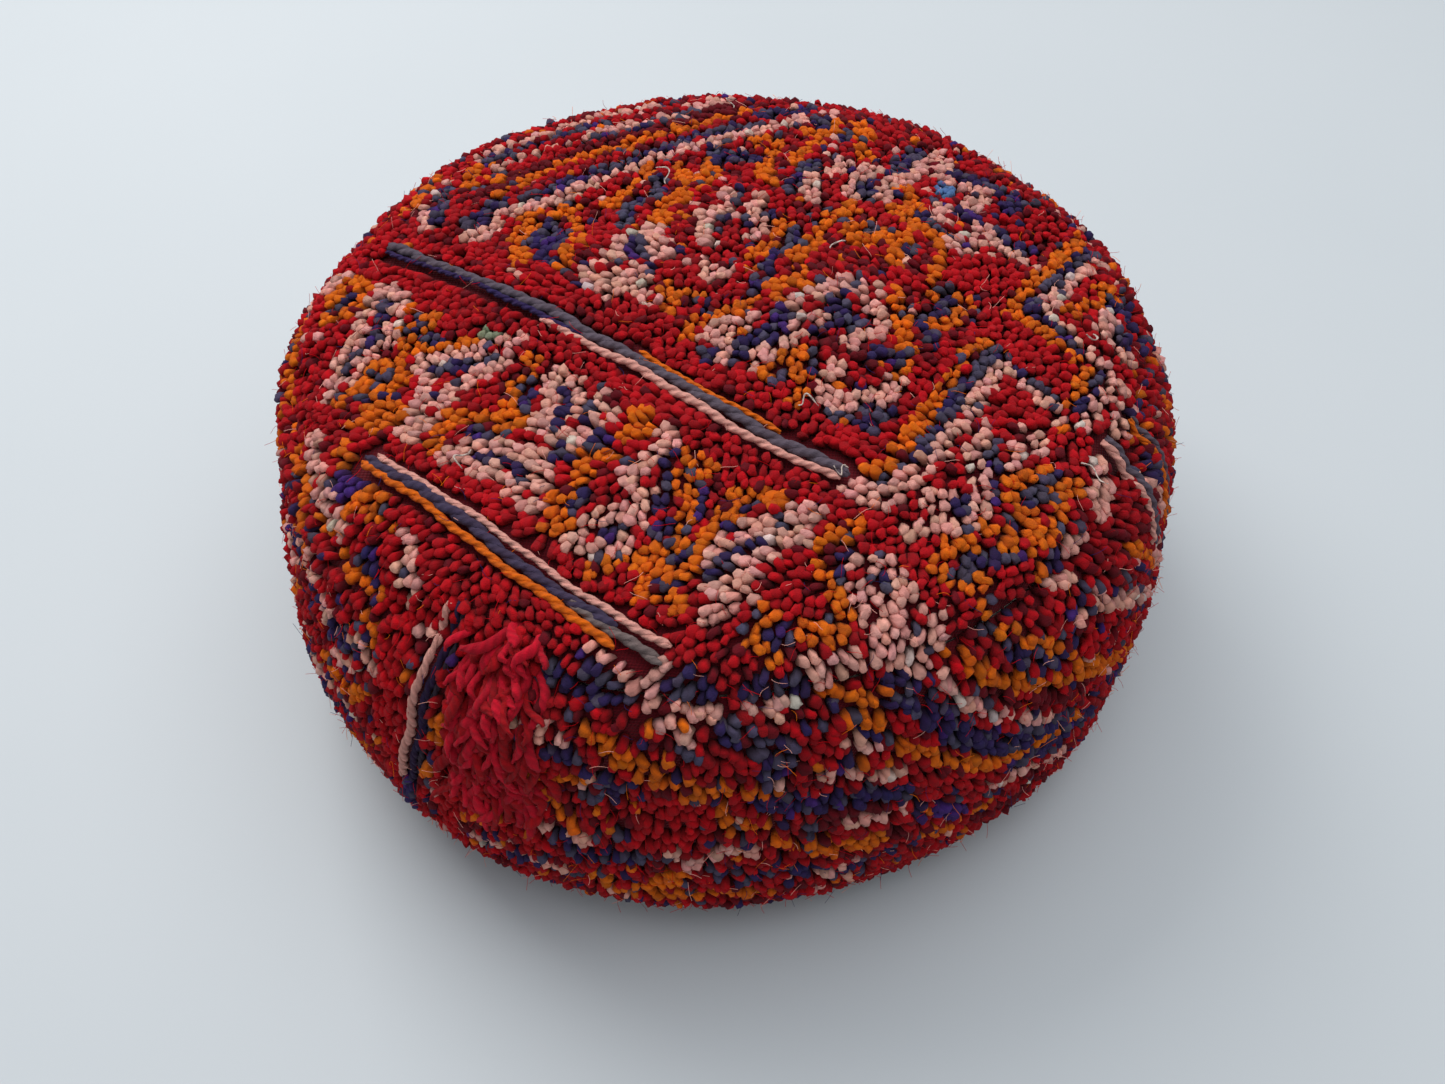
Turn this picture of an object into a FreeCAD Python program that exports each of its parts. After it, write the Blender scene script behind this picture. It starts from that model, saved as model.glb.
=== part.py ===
import FreeCAD, Part
import math
import os
import Sketcher

# A round floor pouf sewn from an old knotted wool rug.
# Every skin follows one outline, offset inwards or outwards from the face of the rug's woven ground:
# a wide crown arc, a shoulder arc, a bulging side arc and a heel arc that runs down to the floor.
# The rug's flatwoven lines run at weave_angle across the top, and the zip runs along X under the base.

doc = FreeCAD.newDocument("rug_pouf")
sheet = doc.addObject("Spreadsheet::Sheet", "Dimensions")
DIMENSIONS = {
    "crown_height": 236,
    "crown_radius": 824,
    "shoulder_radius": 70,
    "shoulder_reach": 172.5,
    "side_radius": 383,
    "widest_height": 85,
    "heel_radius": 58,
    "top_seam_angle": 46,
    "base_seam_angle": 45,
    "crease_angle": 0.9,
    "pile_depth": 10,
    "ground_depth": 3,
    "skin_gap": 0.3,
    "liner_depth": 1,
    "canvas_depth": 1.2,
    "side_panel_count": 3,
    "side_panel_span": 119.4,
    "first_joint_angle": -112,
    "weave_angle": -38.4,
    "groove_width": 15,
    "cord_radius": 2.4,
    "fine_cord_radius": 1.7,
    "cord_margin": 0.5,
    "thread_radius": 0.6,
    "furrow_foot": 30,
    "furrow_roof": 10,
    "furrow_height": 8,
    "zip_opening": 14,
    "zip_length": 410,
    "zip_travel": 380,
    "tape_width": 13,
    "tape_depth": 0.6,
    "tape_inset": 0.6,
    "zip_tack": 1,
    "tape_height": 9.4,
    "teeth_pitch": 3,
    "tooth_width": 2.2,
    "tooth_depth": 1.6,
    "teeth_parting": 0.5,
    "slider_length": 11,
    "slider_width": 9,
    "slider_plate": 1.4,
    "slider_lift": 5.8,
    "slider_play": 0.3,
    "flange_depth": 0.9,
    "web_length": 2.5,
    "web_width": 0.7,
    "ear_length": 2.8,
    "ear_depth": 0.9,
    "ear_parting": 3.4,
    "pull_axis_height": 4,
    "pull_pin_radius": 0.6,
    "pull_pin_length": 4.6,
    "pull_eye_radius": 1.5,
    "pull_neck_width": 2.6,
    "pull_neck_length": 3.4,
    "pull_length": 24,
    "pull_width": 6.5,
    "pull_depth": 1.2,
    "pull_corner_radius": 2.4,
    "zip_end": 8,
    "stop_length": 3,
    "ring_stitches": 150,
    "joint_stitches": 12,
    "joint_stitch_margin": 1,
    "stitch_share": 0.62,
    "zip_stitch_pitch": 5,
    "zip_stitch_inset": 1.4,
}
for row, (alias, number) in enumerate(DIMENSIONS.items(), start=1):
    sheet.set("A%d" % row, alias)
    sheet.set("B%d" % row, str(number))
    sheet.setAlias("B%d" % row, alias)
doc.recompute()

Z_AXIS = FreeCAD.Vector(0, 0, 1)
Y_AXIS = FreeCAD.Vector(0, 1, 0)
X_AXIS = FreeCAD.Vector(1, 0, 0)
CROWN, SHOULDER, SIDE, HEEL = range(4)
WELL_CLEAR = 300.0
nodes = []


def size(alias):
    """A driving dimension, as a plain number."""
    return float(sheet.get(alias))


def bound(expression):
    """The same expression with each dimension read from the sheet, in millimetres."""
    words = []
    for word in expression.split(" "):
        words.append("Dimensions." + word if word in DIMENSIONS else word)
    return "(" + " ".join(words) + ") * 1 mm"


def keep(shape_object, label):
    """Name a finished piece, so that it is checked and written out."""
    shape_object.Label = label
    nodes.append(shape_object)
    return shape_object


# ---------------------------------------------------------------- the outline
SHOULDER_RISE = math.sqrt((size("crown_radius") - size("shoulder_radius")) ** 2 - size("shoulder_reach") ** 2)
CROWN_CENTRE = (0.0, size("crown_height") - size("crown_radius"))
SHOULDER_CENTRE = (size("shoulder_reach"), CROWN_CENTRE[1] + SHOULDER_RISE)
SIDE_DROP = SHOULDER_CENTRE[1] - size("widest_height")
SIDE_RUN = math.sqrt((size("side_radius") - size("shoulder_radius")) ** 2 - SIDE_DROP ** 2)
SIDE_CENTRE = (SHOULDER_CENTRE[0] - SIDE_RUN, size("widest_height"))
HEEL_DROP = size("widest_height") - size("heel_radius")
HEEL_RUN = math.sqrt((size("side_radius") - size("heel_radius")) ** 2 - HEEL_DROP ** 2)
HEEL_CENTRE = (SIDE_CENTRE[0] + HEEL_RUN, size("heel_radius"))
CENTRES = [CROWN_CENTRE, SHOULDER_CENTRE, SIDE_CENTRE, HEEL_CENTRE]
RADII = ["crown_radius", "shoulder_radius", "side_radius", "heel_radius"]
# Each arc runs from its own start angle down to the next one's, measured up from the horizontal.
CROWN_END = math.pi / 2 - math.atan2(size("shoulder_reach"), SHOULDER_RISE)
SHOULDER_END = math.atan2(SIDE_DROP, SIDE_RUN)
SIDE_END = -math.atan2(HEEL_DROP, HEEL_RUN)
BREAKS = [math.pi / 2, CROWN_END, SHOULDER_END, SIDE_END, -math.pi / 2]
TOP_SEAM = math.radians(size("top_seam_angle"))
BASE_SEAM = -math.radians(size("base_seam_angle"))
CREASE = math.radians(size("crease_angle"))


def outline_point(arc, angle, offset):
    """The point of one outline arc at an angle, as distance from the axis and height."""
    centre = CENTRES[arc]
    radius = size(RADII[arc]) + offset
    return centre[0] + radius * math.cos(angle), centre[1] + radius * math.sin(angle)


def skin_height(reach, offset):
    """Height of the top skin at a distance from the axis."""
    crown_edge = outline_point(CROWN, CROWN_END, offset)[0]
    arc = CROWN if reach <= crown_edge else SHOULDER
    radius = size(RADII[arc]) + offset
    return CENTRES[arc][1] + math.sqrt(radius ** 2 - (reach - CENTRES[arc][0]) ** 2)


# ------------------------------------------------------------- sketch helpers
def new_body(name):
    return doc.addObject("PartDesign::Body", name)


def new_sketch(body, role, name):
    """A sketch on one of the body's own origin planes."""
    sketch = body.newObject("Sketcher::SketchObject", name)
    plane = [item for item in body.Origin.OriginFeatures if item.Role == role][0]
    sketch.AttachmentSupport = [(plane, "")]
    sketch.MapMode = "FlatFace"
    return sketch


def flat(point):
    return FreeCAD.Vector(point[0], point[1], 0)


def add_arc(sketch, arc, offset, upper, lower):
    """One arc of the outline; its end point is the upper one and its start the lower one."""
    radius = size(RADII[arc]) + offset
    circle = Part.Circle(flat(CENTRES[arc]), Z_AXIS, radius)
    return sketch.addGeometry(Part.ArcOfCircle(circle, lower, upper), False)


def add_line(sketch, start, end):
    return sketch.addGeometry(Part.LineSegment(flat(start), flat(end)), False)


def bind(sketch, constraint, name, expression):
    """Add a constraint and bind its value to the sheet."""
    index = sketch.addConstraint(constraint)
    sketch.renameConstraint(index, name)
    sketch.setExpression("Constraints." + name, bound(expression))


def place_centre(sketch, geometry, arc):
    """Hold an arc's centre at its place in the outline."""
    x, y = CENTRES[arc]
    if x:
        first, second = ((-1, 1), (geometry, 3)) if x > 0 else ((geometry, 3), (-1, 1))
        sketch.addConstraint(Sketcher.Constraint("DistanceX", *first, *second, abs(x)))
    else:
        sketch.addConstraint(Sketcher.Constraint("PointOnObject", geometry, 3, -2))
    first, second = ((-1, 1), (geometry, 3)) if y > 0 else ((geometry, 3), (-1, 1))
    sketch.addConstraint(Sketcher.Constraint("DistanceY", *first, *second, abs(y)))


def add_chain(sketch, arcs, offset, upper, lower, side):
    """A run of tangent arcs at one offset from the outline."""
    edges = []
    for arc in arcs:
        start = upper if arc == arcs[0] else BREAKS[arc]
        end = lower if arc == arcs[-1] else BREAKS[arc + 1]
        edge = add_arc(sketch, arc, offset, start, end)
        place_centre(sketch, edge, arc)
        if offset < 0:
            expression = "%s - %s" % (RADII[arc], abs(offset))
        else:
            expression = "%s + %s" % (RADII[arc], offset)
        radius = Sketcher.Constraint("Radius", edge, size(RADII[arc]) + offset)
        bind(sketch, radius, "%s_%s" % (side, RADII[arc]), expression)
        edges.append(edge)
    return edges


def skin_profile(sketch, arcs, outer, inner, upper, lower):
    """A closed section between two offsets of the outline."""
    outside = add_chain(sketch, arcs, outer, upper, lower, "outer")
    inside = add_chain(sketch, arcs, inner, upper, lower, "inner")
    for angle, arc, edge, point in ((upper, arcs[0], 0, 2), (lower, arcs[-1], -1, 1)):
        start = outline_point(arc, angle, outer)
        end = outline_point(arc, angle, inner)
        if abs(angle - math.pi / 2) < 1e-9:
            start, end = (0, start[1]), (0, end[1])
        cap = add_line(sketch, start, end)
        sketch.addConstraint(Sketcher.Constraint("Coincident", cap, 1, outside[edge], point))
        sketch.addConstraint(Sketcher.Constraint("Coincident", cap, 2, inside[edge], point))


def revolve(body, sketch, angle=360.0):
    """Turn a section about the pouf's axis, half to each side of the section's plane."""
    turned = body.newObject("PartDesign::Revolution", body.Name + "_turned")
    turned.Profile = sketch
    turned.ReferenceAxis = (sketch, ["V_Axis"])
    turned.Angle = angle
    turned.Midplane = True
    sketch.Visibility = False
    return turned


def skin(name, arcs, outer, inner, upper, lower, angle=360.0, azimuth=0.0):
    """A cloth skin of the cover or the liner, as a turned shell."""
    body = new_body(name)
    sketch = new_sketch(body, "XZ_Plane", name + "_section")
    skin_profile(sketch, arcs, outer, inner, upper, lower)
    revolve(body, sketch, angle)
    body.Placement = FreeCAD.Placement(FreeCAD.Vector(), FreeCAD.Rotation(Z_AXIS, azimuth))
    return body


def bowl(name, offset, rim_height):
    """The filled shape of the underside up to a height, inside one offset of the outline."""
    body = new_body(name)
    sketch = new_sketch(body, "XZ_Plane", name + "_section")
    floor = -offset
    foot = (HEEL_CENTRE[0], floor)
    rim = outline_point(HEEL, BASE_SEAM, offset)
    heel = add_arc(sketch, HEEL, offset, BASE_SEAM, -math.pi / 2)
    place_centre(sketch, heel, HEEL)
    radius = Sketcher.Constraint("Radius", heel, size("heel_radius") + offset)
    bind(sketch, radius, "heel", "heel_radius - %s" % floor)
    corners = [rim, (rim[0], rim_height), (0, rim_height), (0, floor), foot]
    if abs(rim_height - rim[1]) < 1e-9:
        corners.pop(1)
    lines = [add_line(sketch, a, b) for a, b in zip(corners, corners[1:])]
    sketch.addConstraint(Sketcher.Constraint("Coincident", lines[0], 1, heel, 2))
    sketch.addConstraint(Sketcher.Constraint("Coincident", lines[-1], 2, heel, 1))
    for first, second in zip(lines, lines[1:]):
        sketch.addConstraint(Sketcher.Constraint("Coincident", first, 2, second, 1))
    revolve(body, sketch)
    return body


def furrow(name, extra):
    """The trough along the zip, as the solid that it takes out of the underside."""
    body = new_body(name)
    sketch = new_sketch(body, "YZ_Plane", name + "_section")
    foot = size("furrow_foot") + extra
    roof = size("furrow_roof") + extra
    height = size("furrow_height") + extra
    corners = [(-foot, 0), (foot, 0), (roof, height), (-roof, height)]
    lines = [add_line(sketch, a, b) for a, b in zip(corners, corners[1:] + corners[:1])]
    for first, second in zip(lines, lines[1:] + lines[:1]):
        sketch.addConstraint(Sketcher.Constraint("Coincident", first, 2, second, 1))
    sketch.addConstraint(Sketcher.Constraint("PointOnObject", lines[0], 1, -1))
    sketch.addConstraint(Sketcher.Constraint("Symmetric", lines[0], 1, lines[0], 2, -2))
    sketch.addConstraint(Sketcher.Constraint("Symmetric", lines[2], 1, lines[2], 2, -2))
    foot_width = Sketcher.Constraint("DistanceX", lines[0], 1, lines[0], 2, 2 * foot)
    bind(sketch, foot_width, "foot", "2 * furrow_foot + %s" % (2 * extra))
    roof_width = Sketcher.Constraint("DistanceX", lines[2], 2, lines[2], 1, 2 * roof)
    bind(sketch, roof_width, "roof", "2 * furrow_roof + %s" % (2 * extra))
    rise = Sketcher.Constraint("DistanceY", lines[0], 1, lines[2], 2, height)
    bind(sketch, rise, "rise", "furrow_height + %s" % extra)
    pad = body.newObject("PartDesign::Pad", name + "_pad")
    pad.Profile = sketch
    pad.Length = 2 * size("crown_radius")
    pad.Midplane = True
    return body


def cut(name, base, tool):
    """One solid less another."""
    result = doc.addObject("Part::Cut", name)
    result.Base = base
    result.Tool = tool
    return result


def common(name, base, tool):
    """What two solids share."""
    result = doc.addObject("Part::Common", name)
    result.Base = base
    result.Tool = tool
    return result


def box(name, length, width, height, corner):
    """A block whose three sizes are expressions of the sheet, with its low corner at a point."""
    block = doc.addObject("Part::Box", name)
    block.setExpression("Length", bound(length))
    block.setExpression("Width", bound(width))
    block.setExpression("Height", bound(height))
    block.Placement = FreeCAD.Placement(FreeCAD.Vector(*corner), FreeCAD.Rotation())
    return block


def group(label, solids):
    """Many small like pieces of one kind, kept as separate solids in one node."""
    pieces = doc.addObject("Part::Feature", label)
    pieces.Shape = Part.makeCompound(solids)
    return keep(pieces, label)


# ------------------------------------------------------- the top and the side
def weave_point(along, across, offset):
    """A point of the top skin in the rug's own directions."""
    angle = math.radians(size("weave_angle"))
    x = along * math.cos(angle) - across * math.sin(angle)
    y = along * math.sin(angle) + across * math.cos(angle)
    return FreeCAD.Vector(x, y, skin_height(math.hypot(x, y), offset))


# Where the flatwoven lines start and end along the weave, and how far they lie from the middle.
WEFT_LINES = {"long": (-178.0, 124.0, -67.0), "short": (-75.0, 100.0, -179.0)}
# The cords that lie in each line: colour, place across it, and the share of the line that they run.
WEFT_CORDS = {
    "weft_cord_slate": [("long", 1.2, 0.0, 1.0, "cord_radius"), ("short", 0.0, 0.0, 1.0, "cord_radius")],
    "weft_cord_pink": [
        ("long", -3.4, 0.0, 1.0, "fine_cord_radius"),
        ("short", 4.6, 0.0, 1.0, "fine_cord_radius"),
    ],
    "weft_cord_orange": [
        ("long", 5.6, 0.5, 0.8, "fine_cord_radius"),
        ("short", -4.6, 0.0, 1.0, "fine_cord_radius"),
    ],
}
CORD_POINTS = 6


def top_panel():
    """The round top: woven ground, and the knotted pile with a slot along each flatwoven line."""
    gap = size("skin_gap")
    ground = skin(
        "top_ground", [CROWN, SHOULDER], 0.0, -size("ground_depth"), math.pi / 2, TOP_SEAM + CREASE / 2
    )
    keep(ground, "top_panel_ground")
    pile = skin("top_pile", [CROWN, SHOULDER], size("pile_depth"), gap, math.pi / 2, TOP_SEAM + CREASE)
    sketch = new_sketch(pile, "XY_Plane", "weft_slots")
    half = size("groove_width") / 2
    for start, end, across in WEFT_LINES.values():
        corners = [
            weave_point(start, across - half, 0),
            weave_point(end, across - half, 0),
            weave_point(end, across + half, 0),
            weave_point(start, across + half, 0),
        ]
        lines = [add_line(sketch, a, b) for a, b in zip(corners, corners[1:] + corners[:1])]
        for first, second in zip(lines, lines[1:] + lines[:1]):
            sketch.addConstraint(Sketcher.Constraint("Coincident", first, 2, second, 1))
    slots = pile.newObject("PartDesign::Pocket", "weft_slots_cut")
    slots.Profile = sketch
    slots.Type = "ThroughAll"
    slots.Reversed = True
    sketch.Visibility = False
    keep(pile, "top_panel_pile")


def weft_cords():
    """The thick wefts that lie bare in the slots, each a round cord on the woven ground."""
    for label, runs in WEFT_CORDS.items():
        cords = []
        for line, shift, first, last, radius_alias in runs:
            start, end, across = WEFT_LINES[line]
            radius = size(radius_alias)
            margin = radius + size("cord_margin")
            low = start + margin + first * (end - start - 2 * margin)
            high = start + margin + last * (end - start - 2 * margin)
            lift = size("skin_gap") + radius
            steps = [low + (high - low) * i / (CORD_POINTS - 1) for i in range(CORD_POINTS)]
            route = [weave_point(step, across + shift, lift) for step in steps]
            curve = Part.BSplineCurve()
            curve.interpolate(route)
            spine = Part.Wire([curve.toShape()])
            ring = Part.Wire([Part.makeCircle(radius, route[0], curve.tangent(curve.FirstParameter)[0])])
            cords.append(spine.makePipeShell([ring], True, False))
        group(label, cords)


def side_panels():
    """The side band: panels joined end to end, each a woven ground with its pile."""
    step = 360 / size("side_panel_count")
    for number in range(int(size("side_panel_count"))):
        azimuth = size("first_joint_angle") + step * (number + 0.5)
        arcs = [SHOULDER, SIDE, HEEL]
        span = size("side_panel_span")
        upper = TOP_SEAM - CREASE / 2
        ground_name = "side_ground_%d" % (number + 1)
        ground = skin(ground_name, arcs, 0.0, -size("ground_depth"), upper, BASE_SEAM + CREASE, span, azimuth)
        keep(ground, "side_panel_%d_ground" % (number + 1))
        pile_name = "side_pile_%d" % (number + 1)
        pile_lower = BASE_SEAM + CREASE
        pile_skin = (size("pile_depth"), size("skin_gap"), TOP_SEAM - CREASE, pile_lower)
        pile = skin(pile_name, arcs, *pile_skin, span, azimuth)
        keep(pile, "side_panel_%d_pile" % (number + 1))


# ------------------------------------------------------- the base and its zip
def underside():
    """Two halves of cotton canvas, dished up to the zip that joins them."""
    depth = size("canvas_depth")
    rim = outline_point(HEEL, BASE_SEAM, 0.0)[1]
    outer = cut("canvas_outer", bowl("canvas_bowl", 0.0, rim), furrow("canvas_furrow", 0.0))
    inner_bowl = bowl("canvas_hollow", -depth, rim + size("pile_depth"))
    inner = cut("canvas_inner", inner_bowl, furrow("canvas_hollow_furrow", depth))
    sheet_whole = cut("canvas_sheet", outer, inner)
    opening_length = size("zip_length") - 2 * size("zip_tack")
    corner = (-opening_length / 2, -size("zip_opening") / 2, -1)
    opening = box("zip_slot", "zip_length - 2 * zip_tack", "zip_opening", "heel_radius", corner)
    slotted = cut("canvas_slotted", sheet_whole, opening)
    half_gap = size("skin_gap") / 2
    for label, low in (("base_half_front", -WELL_CLEAR - half_gap), ("base_half_back", half_gap)):
        corner = (-WELL_CLEAR, low, -1)
        side = box(label + "_side", str(2 * WELL_CLEAR), str(WELL_CLEAR), "heel_radius", corner)
        keep(common(label, slotted, side), label)


def sewn_zip():
    """The tapes with their rows of teeth, and the stops at both ends."""
    length = size("zip_length")
    parting = size("teeth_parting")
    tooth_width = size("tooth_width")
    tooth_depth = size("tooth_depth")
    tape_start = parting + size("tape_inset")
    tooth_low = size("tape_height") - size("skin_gap") / 3 - tooth_depth
    pitch = size("teeth_pitch")
    count = int((length - 2 * size("zip_end")) / pitch)
    for name, side in (("front", -1), ("back", 1)):
        low = tape_start if side > 0 else -tape_start - size("tape_width")
        corner = (-length / 2, low, size("tape_height"))
        keep(box("tape_" + name, "zip_length", "tape_width", "tape_depth", corner), "zip_tape_" + name)
        low = parting if side > 0 else -parting - tooth_width
        teeth = []
        for number in range(count):
            x = (number - (count - 1) / 2 + side / 4) * pitch
            corner = FreeCAD.Vector(x - pitch / 4, low, tooth_low)
            teeth.append(Part.makeBox(pitch / 2, tooth_width, tooth_depth, corner))
        group("zip_teeth_" + name, teeth)
    stop = size("stop_length")
    blocks = []
    for low in (parting, -parting - tooth_width):
        corner = FreeCAD.Vector(length / 2 - size("zip_tack") - stop, low, tooth_low)
        blocks.append(Part.makeBox(stop, tooth_width, tooth_depth, corner))
    group("zip_top_stops", blocks)
    corner = (-length / 2 + size("zip_tack"), -parting - tooth_width, tooth_low)
    across = "2 * teeth_parting + 2 * tooth_width"
    keep(box("bottom_stop", "stop_length", across, "tooth_depth", corner), "zip_bottom_stop")


def cross_pin(name, radius, length, centre):
    """A round pin across the zip, centred on the pull's axis."""
    pin = doc.addObject("Part::Cylinder", name)
    pin.setExpression("Radius", bound(radius))
    pin.setExpression("Height", bound(length))
    doc.recompute()
    place = FreeCAD.Vector(centre, float(pin.Height) / 2, size("pull_axis_height"))
    pin.Placement = FreeCAD.Placement(place, FreeCAD.Rotation(X_AXIS, 90))
    return pin


def slider():
    """The slider: two plates joined by a web that runs between the teeth, ears and a cross pin."""
    length = size("slider_length")
    width = size("slider_width")
    lift = size("slider_lift")
    flange = size("flange_depth")
    centre = size("zip_travel") / 2
    left = centre - length / 2
    upper = size("tape_height") + size("tape_depth") + size("slider_play")
    plate_sizes = ("slider_length", "slider_width", "slider_plate")
    pieces = [
        box("slider_under", *plate_sizes, (left, -width / 2, lift)),
        box("slider_over", *plate_sizes, (left, -width / 2, upper)),
    ]
    web_corner = (centre + length / 2 - size("web_length"), -size("web_width") / 2, lift)
    web_height = "tape_height + tape_depth + slider_play + slider_play - slider_lift"
    pieces.append(box("slider_web", "web_length", "web_width", web_height, web_corner))
    flange_height = "tape_height - slider_play - slider_lift"
    for name, low in (("front", -width / 2), ("back", width / 2 - flange)):
        corner = (left, low, lift)
        pieces.append(box("slider_flange_" + name, "slider_length", "flange_depth", flange_height, corner))
    ear_low = size("pull_axis_height") - size("ear_length") / 2
    ear_height = "slider_lift - pull_axis_height + ear_length / 2 + slider_play"
    inside = size("ear_parting") / 2
    for name, low in (("front", -inside - size("ear_depth")), ("back", inside)):
        corner = (centre - size("ear_length") / 2, low, ear_low)
        pieces.append(box("slider_ear_" + name, "ear_length", "ear_depth", ear_height, corner))
    pieces.append(cross_pin("slider_pin", "pull_pin_radius", "pull_pin_length", centre))
    whole = doc.addObject("Part::MultiFuse", "slider_whole")
    whole.Shapes = pieces
    keep(whole, "zip_slider_body")


def plate_edges(plate):
    """For each edge of a block, whether it is an upright one."""
    doc.recompute()
    upright = []
    for edge in plate.Shape.Edges:
        rise = abs(edge.Vertexes[0].Z - edge.Vertexes[-1].Z)
        upright.append(rise > size("pull_depth") / 2)
    return upright


def pull_tab():
    """The flat tab that hangs on the slider's pin."""
    centre = size("zip_travel") / 2
    low = size("pull_axis_height") - size("pull_depth") / 2
    neck = size("pull_neck_width")
    neck_end = centre - size("pull_neck_length")
    eye = cross_pin("pull_eye", "pull_eye_radius", "pull_neck_width", centre)
    stem = box("pull_stem", "pull_neck_length", "pull_neck_width", "pull_depth", (neck_end, -neck / 2, low))
    corner = (centre - size("pull_length"), -size("pull_width") / 2, low)
    plate = box("pull_plate", "pull_length - pull_neck_length", "pull_width", "pull_depth", corner)
    rounded = doc.addObject("Part::Fillet", "pull_rounded")
    rounded.Base = plate
    radius = size("pull_corner_radius")
    upright = [number for number, rises in enumerate(plate_edges(plate), start=1) if rises]
    rounded.Edges = [(number, radius, radius) for number in upright]
    solid = doc.addObject("Part::MultiFuse", "pull_solid")
    solid.Shapes = [eye, stem, rounded]
    hole = cross_pin("pull_hole", "pull_pin_radius + slider_play", "2 * pull_neck_width", centre)
    keep(cut("pull_bored", solid, hole), "zip_pull_tab")


# ------------------------------------------------------------------ the seams
def stitch_arcs(centre, axis, start_direction, radius, angles, filled):
    """Stitches along a circle: short bent lengths of thread with gaps between."""
    stitches = []
    thread = size("thread_radius")
    for start, end in zip(angles, angles[1:]):
        span = (end - start) * filled
        turned = FreeCAD.Rotation(axis, start)
        out = turned.multVec(start_direction)
        ring = Part.Wire([Part.makeCircle(thread, centre + out * radius, axis.cross(out))])
        face = Part.Face(ring)
        stitches.append(face.revolve(centre, axis, span))
    return stitches


def ring_angles(count, low=0.0, high=360.0):
    return [low + (high - low) * i / count for i in range(count + 1)]


def seam_threads():
    """The hand stitching that holds the panels, the base and the zip together."""
    lift = size("thread_radius") + size("skin_gap")
    share = size("stitch_share")
    around = ring_angles(int(size("ring_stitches")))
    top_reach, top_height = outline_point(SHOULDER, TOP_SEAM, lift)
    top_centre = FreeCAD.Vector(0, 0, top_height)
    group("top_seam_thread", stitch_arcs(top_centre, Z_AXIS, X_AXIS, top_reach, around, share))
    base_reach, base_height = outline_point(HEEL, BASE_SEAM, lift)
    base_centre = FreeCAD.Vector(0, 0, base_height)
    group("base_seam_thread", stitch_arcs(base_centre, Z_AXIS, X_AXIS, base_reach, around, share))
    joints = []
    margin = size("joint_stitch_margin")
    low = margin - math.degrees(SHOULDER_END)
    high = -margin - math.degrees(SIDE_END)
    steep = ring_angles(int(size("joint_stitches")), low, high)
    for number in range(int(size("side_panel_count"))):
        azimuth = size("first_joint_angle") + 360 / size("side_panel_count") * number
        outward = FreeCAD.Rotation(Z_AXIS, azimuth).multVec(X_AXIS)
        crosswise = Z_AXIS.cross(outward)
        centre = outward * SIDE_CENTRE[0] + FreeCAD.Vector(0, 0, SIDE_CENTRE[1])
        joints += stitch_arcs(centre, crosswise, outward, size("side_radius") + lift, steep, share)
    group("side_joint_thread", joints)
    rows = []
    inset = size("zip_opening") / 2 + size("zip_stitch_inset")
    pitch = size("zip_stitch_pitch")
    count = int((size("zip_length") - 2 * size("zip_end")) / pitch)
    height = size("furrow_height") - size("thread_radius") - size("skin_gap") / 3
    for y in (-inset, inset):
        for number in range(count):
            x = (number - (count - 1) / 2) * pitch
            start = FreeCAD.Vector(x - pitch * share / 2, y, height)
            rows.append(Part.makeCylinder(size("thread_radius"), pitch * share, start, X_AXIS))
    group("zip_stitching", rows)


# ------------------------------------------------------- the liner and filling
def inner_bag():
    """The cotton bag that holds the filling, and the filling itself."""
    outer = -size("ground_depth") - size("skin_gap")
    inner = outer - size("liner_depth")
    seam_gap = CREASE / 2
    top = skin("bag_top", [CROWN, SHOULDER], outer, inner, math.pi / 2, TOP_SEAM + seam_gap)
    keep(top, "liner_top")
    side = skin("bag_side", [SHOULDER, SIDE, HEEL], outer, inner, TOP_SEAM - seam_gap, BASE_SEAM + CREASE)
    keep(side, "liner_side")
    rim = outline_point(HEEL, BASE_SEAM, outer)[1]
    clearance = size("tape_height") + size("tape_depth") + size("slider_plate") + 1 - size("furrow_height")
    shell = cut("bag_base_outer", bowl("bag_bowl", outer, rim), furrow("bag_furrow", clearance))
    hollow = bowl("bag_hollow", inner, rim + size("pile_depth"))
    deeper = clearance + size("liner_depth")
    core = cut("bag_base_inner", hollow, furrow("bag_hollow_furrow", deeper))
    keep(cut("bag_base", shell, core), "liner_base")
    body = new_body("fill")
    sketch = new_sketch(body, "XZ_Plane", "fill_section")
    offset = inner - size("skin_gap")
    arcs = [CROWN, SHOULDER, SIDE, HEEL]
    edges = add_chain(sketch, arcs, offset, math.pi / 2, -math.pi / 2, "fill")
    crown_top = (0, size("crown_height") + offset)
    foot = outline_point(HEEL, -math.pi / 2, offset)
    floor = add_line(sketch, foot, (0, foot[1]))
    axis = add_line(sketch, (0, foot[1]), crown_top)
    sketch.addConstraint(Sketcher.Constraint("Coincident", floor, 1, edges[-1], 1))
    sketch.addConstraint(Sketcher.Constraint("Coincident", floor, 2, axis, 1))
    sketch.addConstraint(Sketcher.Constraint("Coincident", axis, 2, edges[0], 2))
    revolve(body, sketch)
    keep(cut("fill_furrowed", body, furrow("fill_furrow", deeper + size("skin_gap"))), "stuffing")


def write_parts():
    """Check every object, and write one STEP file for each finished piece."""
    doc.recompute()
    for item in doc.Objects:
        if "Invalid" in item.State or "Error" in item.State:
            raise RuntimeError("%s is not valid: %s" % (item.Label, item.State))
    os.makedirs("parts", exist_ok=True)
    for item in nodes:
        if item.Shape.isNull() or not item.Shape.isValid():
            raise RuntimeError("%s has no valid shape" % item.Label)
        item.Shape.exportStep("parts/%s.step" % item.Label)


top_panel()
weft_cords()
side_panels()
underside()
sewn_zip()
slider()
pull_tab()
seam_threads()
inner_bag()
write_parts()
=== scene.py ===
import bpy
import math
import numpy as np
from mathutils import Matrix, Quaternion, Vector


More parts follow.
